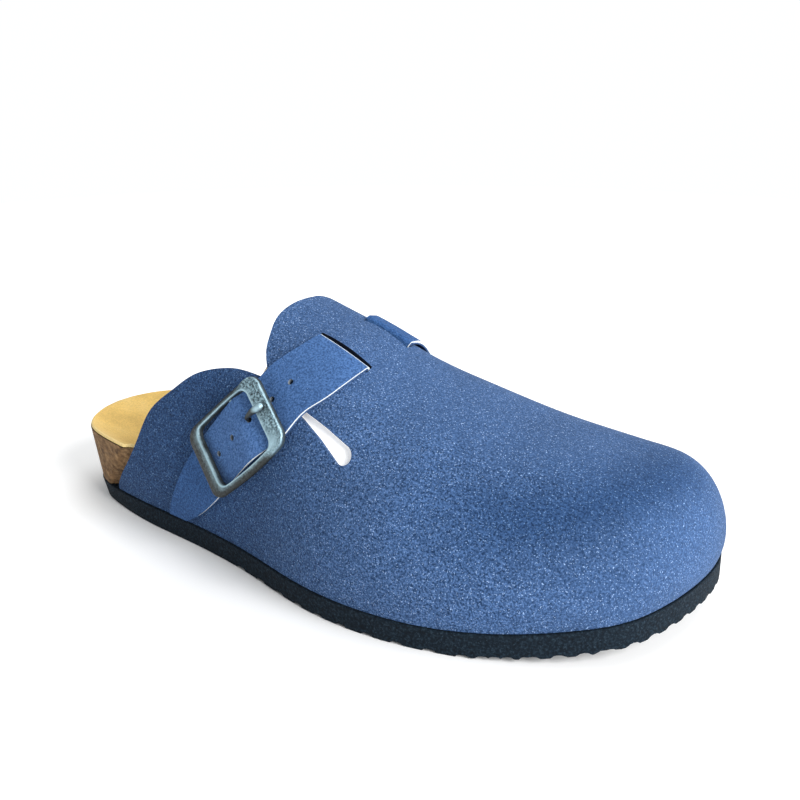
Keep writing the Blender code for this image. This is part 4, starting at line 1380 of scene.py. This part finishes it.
def make_upper(last, route):
    paints = [
        suede("upper_suede", SUEDE_DARK, SUEDE, SUEDE_LIGHT, UPPER_FLECKS),
        cut_edge("upper_lining", LINING),
        suede("upper_edge", SUEDE_DARK, SUEDE, SUEDE_LIGHT, RIM_FLECKS),
        cut_edge("slit_shade", SLIT_SHADE),
    ]
    upper = new_object("upper_suede_shell", upper_sheet(last, route), paints)
    wall = upper.modifiers.new("wall", "SOLIDIFY")
    wall.thickness = WALL
    wall.offset = -1
    wall.material_offset = 1
    wall.material_offset_rim = RIM_PAINT
    baked(upper)
    shade_slits(upper, last)
    stands_for(upper, "upper")


def make_keyhole_lining(last):
    """A strip of the pale lining under the keyhole, just inside the wall."""
    rows = np.linspace(*LINING_ROWS, LINING_STEPS + 1)
    stations = [row.station for row in KEYHOLE]
    middle = np.interp(rows, stations, [row.girth for row in KEYHOLE])
    wide = np.interp(rows, stations, [row.radius for row in KEYHOLE]) + LINING_BORDER
    across = np.linspace(-1, 1, LINING_COLUMNS + 1)
    girth = middle[:, None] + wide[:, None] / GIRTH_REACH * across
    along = np.repeat(rows[:, None] / FAN_START, len(across), axis=1)
    layers = [last.off(along, girth, np.full(along.shape, -WALL - depth)) for depth in LINING_DEPTHS]
    lining = new_object("keyhole_lining", layered_mesh("lining", layers), [lining_cloth()])
    lining.data.shade_smooth()
    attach(lining, "root")


# Strap

def strap_edges(girth):
    """Stations of the strap's back and front edge."""
    return np.array([table_curve(STRAP, "girth", edge)(girth) for edge in ("back", "front")])


def strap_along(girth, across):
    """The surface's "along" at a share of the strap's width."""
    back, front = strap_edges(girth)
    return (back + (front - back) * across) / FAN_START


def strap_girth(girth, across):
    """Girth at a share of the strap's width, on the cross line that has this girth at its middle."""
    lean = smooth_step(*LEAN_GROWS, girth) * (1 - smooth_step(*LEAN_FADES, girth))
    return girth - STRAP_LEAN * lean * (across - MIDDLE)


class StrapRoute:
    """Turns distance along the strap's middle into girth, and back."""

    def __init__(self, last):
        self.girths = np.linspace(STRAP[0].girth, STRAP[-1].girth, STRAP_SAMPLES)
        middle = last.point(strap_along(self.girths, MIDDLE), self.girths)
        self.run = run_along(middle)

    def run_at(self, girth):
        return np.interp(girth, self.girths, self.run)

    def girth_at(self, run):
        return np.interp(run, self.run, self.girths)


def lifted(route, rows):
    """Route points (distance, height of the strap's middle) over a stretch outside the upper."""
    start, end = route.run_at(rows[0].girth), route.run_at(rows[-1].girth)
    run = np.linspace(start, end, round((end - start) / STRAP_STEP) + 1)
    lift = table_curve(rows, "girth", "lift")(route.girth_at(run))
    return np.column_stack([run, np.maximum(lift, STRAP_CLEAR) + STRAP_THICK / 2])


def dive(lip):
    """Route points of the bend down over a slit's lip and the bend back to run under the wall."""
    radius = STRAP_CLEAR + STRAP_THICK / 2
    turns = np.linspace(0, DIVE_ANGLE, DIVE_STEPS)
    over = np.column_stack([lip + radius * np.sin(turns), radius * np.cos(turns)])
    depth = -WALL - radius
    drop = over[-1, 1] - depth - radius * (1 - math.cos(DIVE_ANGLE))
    end = over[-1, 0] + drop / math.tan(DIVE_ANGLE) + radius * math.sin(DIVE_ANGLE)
    under = np.column_stack([end - radius * np.sin(turns), depth + radius * (1 - np.cos(turns))])
    return np.vstack([over, under[::-1]])


def strap_path(route):
    """The strap's middle line as (distance, height over the upper's outer surface)."""
    into = dive(route.run_at(LATERAL_SLIT))
    mirrored = dive(-route.run_at(MEDIAL_SLIT))
    out = np.column_stack([-mirrored[::-1, 0], mirrored[::-1, 1]])
    bridge = np.linspace(into[-1, 0], out[0, 0], BRIDGE_STEPS + 1)[1:-1]
    hidden = np.column_stack([bridge, np.full_like(bridge, into[-1, 1])])
    return np.vstack([lifted(route, LATERAL_LIFT), into, hidden, out, lifted(route, MEDIAL_LIFT)])


def strap_mesh(last, route):
    """The band along its path, with the painted highlight on its bend over the slit, its pale cut edge
    and the painted shade under it in their own materials.
    """
    path = strap_path(route)
    way = unit(np.gradient(path, axis=0))
    out = np.column_stack([-way[:, 1], way[:, 0]]) * STRAP_THICK / 2
    across = np.linspace(0, 1, STRAP_COLUMNS + 1)
    sheets = []
    for face in (path + out, path - out):
        girth = strap_girth(route.girth_at(face[:, :1]), across)
        height = np.repeat(face[:, 1:], len(across), axis=1)
        sheets.append(last.off(strap_along(girth, across), girth, height))
    top, under = sheets
    # The bend's rows take the painted highlight
    start, end = len(lifted(route, LATERAL_LIFT)) + np.array(BEND_ROWS)
    grids = [top[: start + 1], top[start : end + 1], top[end:], under]
    paints = [TOP_PAINT, BEND_HIGHLIGHT_PAINT, TOP_PAINT, UNDER_SHADE_PAINT]
    # The cut edge shows pale above, and below it takes the painted shade of the underside
    share = np.full((len(path), 1, 1), PALE_SHARE)
    share[-len(lifted(route, MEDIAL_LIFT)) :] = MEDIAL_PALE
    middle = top + (under - top) * share
    across_ends = [(top, middle, PALE_PAINT), (middle, under, UNDER_SHADE_PAINT)]
    along_sides = [(high.swapaxes(0, 1), low.swapaxes(0, 1), paint) for high, low, paint in across_ends]
    for high, low, paint in along_sides + across_ends:
        grids += [np.array([high[edge], low[edge]]) for edge in (0, -1)]
        paints += [paint, paint]
    return closed_mesh("strap", grids, paints)


def hole_punches(last):
    """One mesh of pins that cut the strap's holes."""
    build = bmesh.new()
    for girth in HOLE_GIRTHS:
        bmesh.ops.create_cone(
            build, cap_ends=True, segments=HOLE_SIDES, radius1=HOLE_RADIUS, radius2=HOLE_RADIUS,
            depth=HOLE_DEPTH, matrix=strap_frame(last, girth, HOLE_ACROSS, 0.0),
        )
    return as_mesh(build, "strap_holes")


def make_strap(last, route):
    paints = [
        suede("strap_suede", STRAP_DARK, STRAP_TOP, STRAP_LIGHT, STRAP_FLECKS),
        cut_edge("strap_cut_edge", CUT_EDGE),
        # A painted highlight on the bend over the lateral slit, and painted shade under the strap
        cut_edge("strap_bend_highlight", BEND_HIGHLIGHT),
        cut_edge("strap_under_shade", STRAP_DARK),
    ]
    strap = new_object("strap_suede_band", strap_mesh(last, route), paints)
    carve(strap, new_object("strap_holes", hole_punches(last), [cut_edge("hole_wall", HOLE_WALL)]))
    # Painted shade on the strap, by where it lies along the buckle, and on the inner side of the foot
    to_buckle = (HEEL @ strap_frame(last, BUCKLE_GIRTH, BUCKLE_ACROSS, 0.0)).inverted()
    spots = [vertex.co for vertex in strap.data.vertices]
    along = [(to_buckle @ spot).x for spot in spots]
    shade = np.interp(along, [row.along for row in STRAP_SHADE], [row.shade for row in STRAP_SHADE])
    mark(strap.data, "painted_shade", np.where([spot.y < 0 for spot in spots], shade, MEDIAL_SHADE))
    stands_for(strap, "strap")


def strap_frame(last, girth, across, lift):
    """Placement on the strap: x along it towards the instep, y across it, z off the shoe."""
    step = STRAP_SLOPE_STEP
    ahead = last.point(strap_along(girth + step, across), girth + step)
    behind = last.point(strap_along(girth - step, across), girth - step)
    z = Vector(last.normal(strap_along(girth, across), girth))
    x = Vector(ahead - behind)
    x = (x - x.dot(z) * z).normalized()
    y = z.cross(x)
    place = Matrix((x, y, z)).transposed().to_4x4()
    place.translation = last.off(strap_along(girth, across), girth, np.array(lift))
    return place


# Buckle

def bar_line(low, high, half_width, corner):
    """A rounded rectangle from x = low to x = high, with points along its sides, which bow out."""
    wide = half_width - corner
    centres = ((high - corner, wide), (low + corner, wide), (low + corner, -wide), (high - corner, -wide))
    arcs = []
    for quarter, centre in enumerate(centres):
        angles = (quarter + np.linspace(0, 1, CORNER_STEPS + 1)) * math.pi / 2
        arcs.append(centre + corner * np.column_stack([np.cos(angles), np.sin(angles)]))
    steps = np.linspace(0, 1, SIDE_STEPS, endpoint=False)[:, None]
    points = []
    for arc, onward in zip(arcs, arcs[1:] + arcs[:1]):
        points += [arc[:-1], arc[-1] + (onward[0] - arc[-1]) * steps]
    points = np.vstack(points)
    half = np.array([BUCKLE_LENGTH, BUCKLE_WIDTH]) / 2
    bow = SIDE_BOW * (1 - (points[:, 0] / half[0]) ** 2) - CORNER_PULL
    points[:, 1] += bow * np.clip(2 * points[:, 1] / half[1], -1, 1)
    low_back = np.clip(points / half * (-1, 1), 0, 1).prod(axis=1)
    points[:, 1] += CORNER_OUT * low_back**2
    return points


def bar_loops():
    """Loops round the buckle's frame, from its inner lower edge over the top to its outer lower edge."""
    half_length, half_width = BUCKLE_LENGTH / 2, BUCKLE_WIDTH / 2
    outer = bar_line(-half_length, half_length, half_width, OUTER_CORNER)
    inner_high = half_length - WIDE_BAR
    inner = bar_line(-half_length + LOW_BAR, inner_high, half_width - SIDE_BAR, INNER_CORNER)
    wide = smooth_step(inner_high - INNER_CORNER, inner_high + INNER_CORNER / 2, outer[:, 0])
    low = 1 - smooth_step(-half_length, -half_length + 2 * LOW_BAR, outer[:, 0])
    loops = []
    for row in BAR_SECTION:
        plan = inner + (outer - inner) * row.share
        plan[:, 0] -= LOW_BAR_FLARE * low * max(row.share - FLARE_STARTS, 0) / (1 - FLARE_STARTS)
        height = (row.sloped + (row.flat - row.sloped) * wide) * FRAME_THICK / 2
        loops.append(np.column_stack([plan, height]))
    return loops, wide


def join_rings(build, rings):
    """Faces from each closed ring of points to the next."""
    for near, far in zip(rings, rings[1:]):
        for i in range(len(near)):
            onward = (i + 1) % len(near)
            build.faces.new((near[i], near[onward], far[onward], far[i]))


def tube(build, points, radii):
    """A round bar through the points with a radius at each, closed at both ends."""
    points = np.asarray(points, float)
    ways = unit(np.gradient(points, axis=0))
    turn = np.linspace(0, 2 * math.pi, TUBE_SIDES, endpoint=False)
    rings = []
    side = np.array([0.0, 1.0, 0.0])
    for point, way, radius in zip(points, ways, radii):
        side = side - side.dot(way) * way
        if np.linalg.norm(side) < WELD:
            side = np.cross(way, [1.0, 0.0, 0.0])
        side = unit(side)
        up = np.cross(way, side)
        loop = point + radius * (np.outer(np.cos(turn), side) + np.outer(np.sin(turn), up))
        rings.append([build.verts.new(spot) for spot in loop])
    join_rings(build, rings)
    build.faces.new(rings[0][::-1])
    build.faces.new(rings[-1])


def make_buckle_frame(place, metal):
    loops, wide = bar_loops()
    build = bmesh.new()
    rings = [[build.verts.new(point) for point in loop] for loop in loops]
    join_rings(build, rings + rings[:1])
    reach = BUCKLE_WIDTH / 2 - UNDER_BAR_INSET
    knee = -UNDER_BAR_DROP * UNDER_BAR_KNEE
    half = [(reach, 0.0), (reach, knee), (reach - UNDER_BAR_RADIUS, -UNDER_BAR_DROP)]
    route = half + [(-side, drop) for side, drop in half[::-1]]
    tube(build, [(UNDER_BAR_AT, side, drop) for side, drop in route], [UNDER_BAR_RADIUS] * len(route))
    bmesh.ops.recalc_face_normals(build, faces=build.faces)
    mesh = as_mesh(build, "buckle_frame")
    plan = np.vstack(loops)[:, :2]
    # The corner at the wide bar's front end takes the brightest painted highlight
    bright = bell(np.linalg.norm(plan - BRIGHT_CORNER, axis=1) / BRIGHT_REACH)
    for name, highlit in BRIGHT_MARKS:
        pairs = [getattr(row, name) for row in BAR_MARKS]
        values = np.concatenate([sloped + (flat - sloped) * wide for sloped, flat in pairs])
        values += (highlit - values) * bright
        under = np.zeros(len(mesh.vertices) - len(values))
        mark(mesh, name, np.concatenate([values, under]))
    mesh.transform(place)
    stands_for(new_object("buckle_pewter_frame", mesh, [metal]), "buckle_frame")


def make_prong(place, metal):
    knots = np.arange(len(PRONG))
    at = np.linspace(0, len(PRONG) - 1, (len(PRONG) - 1) * PRONG_STEPS + 1)
    rows = spline(knots, np.array(PRONG))(at)
    line, swell = rows[:, :3], rows[:, 3]
    past = smooth_step(*KNOB_GROWS, line[:, 0])
    line += np.outer(past, (KNOB_REACH, 0.0, KNOB_RISE))
    left = np.linspace(len(at) - 1, 0, len(at)) / PRONG_STEPS
    radii = PRONG_RADIUS * swell * np.sqrt(1 - np.clip(1 - left * PRONG_BLUNT, 0, PRONG_TIP) ** 2)
    build = bmesh.new()
    tube(build, line, radii)
    mesh = welded(build, "buckle_prong")
    rings = np.array([vertex.co for vertex in mesh.vertices]).reshape(len(at), TUBE_SIDES, 3)
    # Painted highlight on the prong's top; painted shade on its sides and where it comes out of the strap
    upward = (rings[:, :, 2] - line[:, 2:]) / radii[:, None]
    mark(mesh, "wide", np.zeros(upward.size))
    mark(mesh, "rubbed", PRONG_HIGHLIGHT * smooth_step(*PRONG_TOP, upward).ravel())
    lit = smooth_step(*PRONG_SIDE, upward) * smooth_step(*PRONG_SHAFT, rings[:, :, 0])
    mark(mesh, "sooty", PRONG_SHADE * (1 - lit).ravel())
    mesh.transform(place)
    stands_for(new_object("buckle_pewter_prong", mesh, [metal]), "buckle_prong")


def make_buckle(last):
    level = strap_frame(last, BUCKLE_GIRTH, BUCKLE_ACROSS, BUCKLE_LIFT)
    leaned = level @ Matrix.Translation(FRAME_SHIFT) @ Euler(BUCKLE_LEAN).to_matrix().to_4x4()
    metal = pewter()
    make_buckle_frame(leaned, metal)
    make_prong(level, metal)


# Camera, light and floor

def make_camera():
    lens = bpy.data.cameras.new("photo_camera")
    lens.lens = CAMERA_LENS
    lens.sensor_width = CAMERA_SENSOR
    lens.clip_start = CAMERA_NEAR
    camera = in_scene("photo_camera", lens)
    turned = Matrix.Rotation(CAMERA_TURN, 4, "Z") @ Matrix.Rotation(math.pi / 2 - CAMERA_TILT, 4, "X")
    turned = turned @ Matrix.Rotation(CAMERA_ROLL, 4, "Z")
    back = Matrix.Translation((0.0, 0.0, CAMERA_DISTANCE))
    camera.matrix_world = HEEL @ Matrix.Translation(CAMERA_TARGET) @ turned @ back
    bpy.context.scene.camera = camera


def make_light(row):
    lamp = bpy.data.lights.new(row.name, "AREA")
    lamp.shape = "DISK"
    lamp.size = row.size
    lamp.energy = row.watts
    light = in_scene(row.name, lamp)
    light.location = row.at
    light.rotation_mode = "QUATERNION"
    light.rotation_quaternion = (LIGHT_AIM - Vector(row.at)).to_track_quat("-Z", "Y")


def make_sky():
    world = bpy.data.worlds.new("studio")
    world.use_nodes = True
    sky = Nodes(world.node_tree)
    height = sky.node("SeparateXYZ", Vector=sky.node("TexCoord").outputs["Generated"])
    low, high = HORIZON_BAND
    band = sky.node(
        "MapRange", Value=height.outputs["Z"], From_Min=low, From_Max=high,
        To_Min=HORIZON_STRENGTH, To_Max=SKY_STRENGTH,
    )
    shown = world.node_tree.nodes["Background"]
    sky.feed_all(shown, {"Color": SKY, "Strength": band.outputs["Result"]})
    bpy.context.scene.world = world


def make_floor():
    build = bmesh.new()
    bmesh.ops.create_circle(build, cap_ends=True, segments=FLOOR_SIDES, radius=FLOOR_RADIUS)
    mesh = as_mesh(build, "floor")
    mesh.materials.append(floor_paper())
    in_scene("floor", mesh)


def main():
    last = Last(OUTLINE_RING)
    route = StrapRoute(last)
    make_outsole()
    make_footbed()
    make_insole()
    make_upper(last, route)
    make_keyhole_lining(last)
    make_strap(last, route)
    make_buckle(last)
    make_camera()
    make_sky()
    for row in LIGHTS:
        make_light(row)
    make_floor()
    bpy.context.scene.view_settings.view_transform = "Standard"


main()
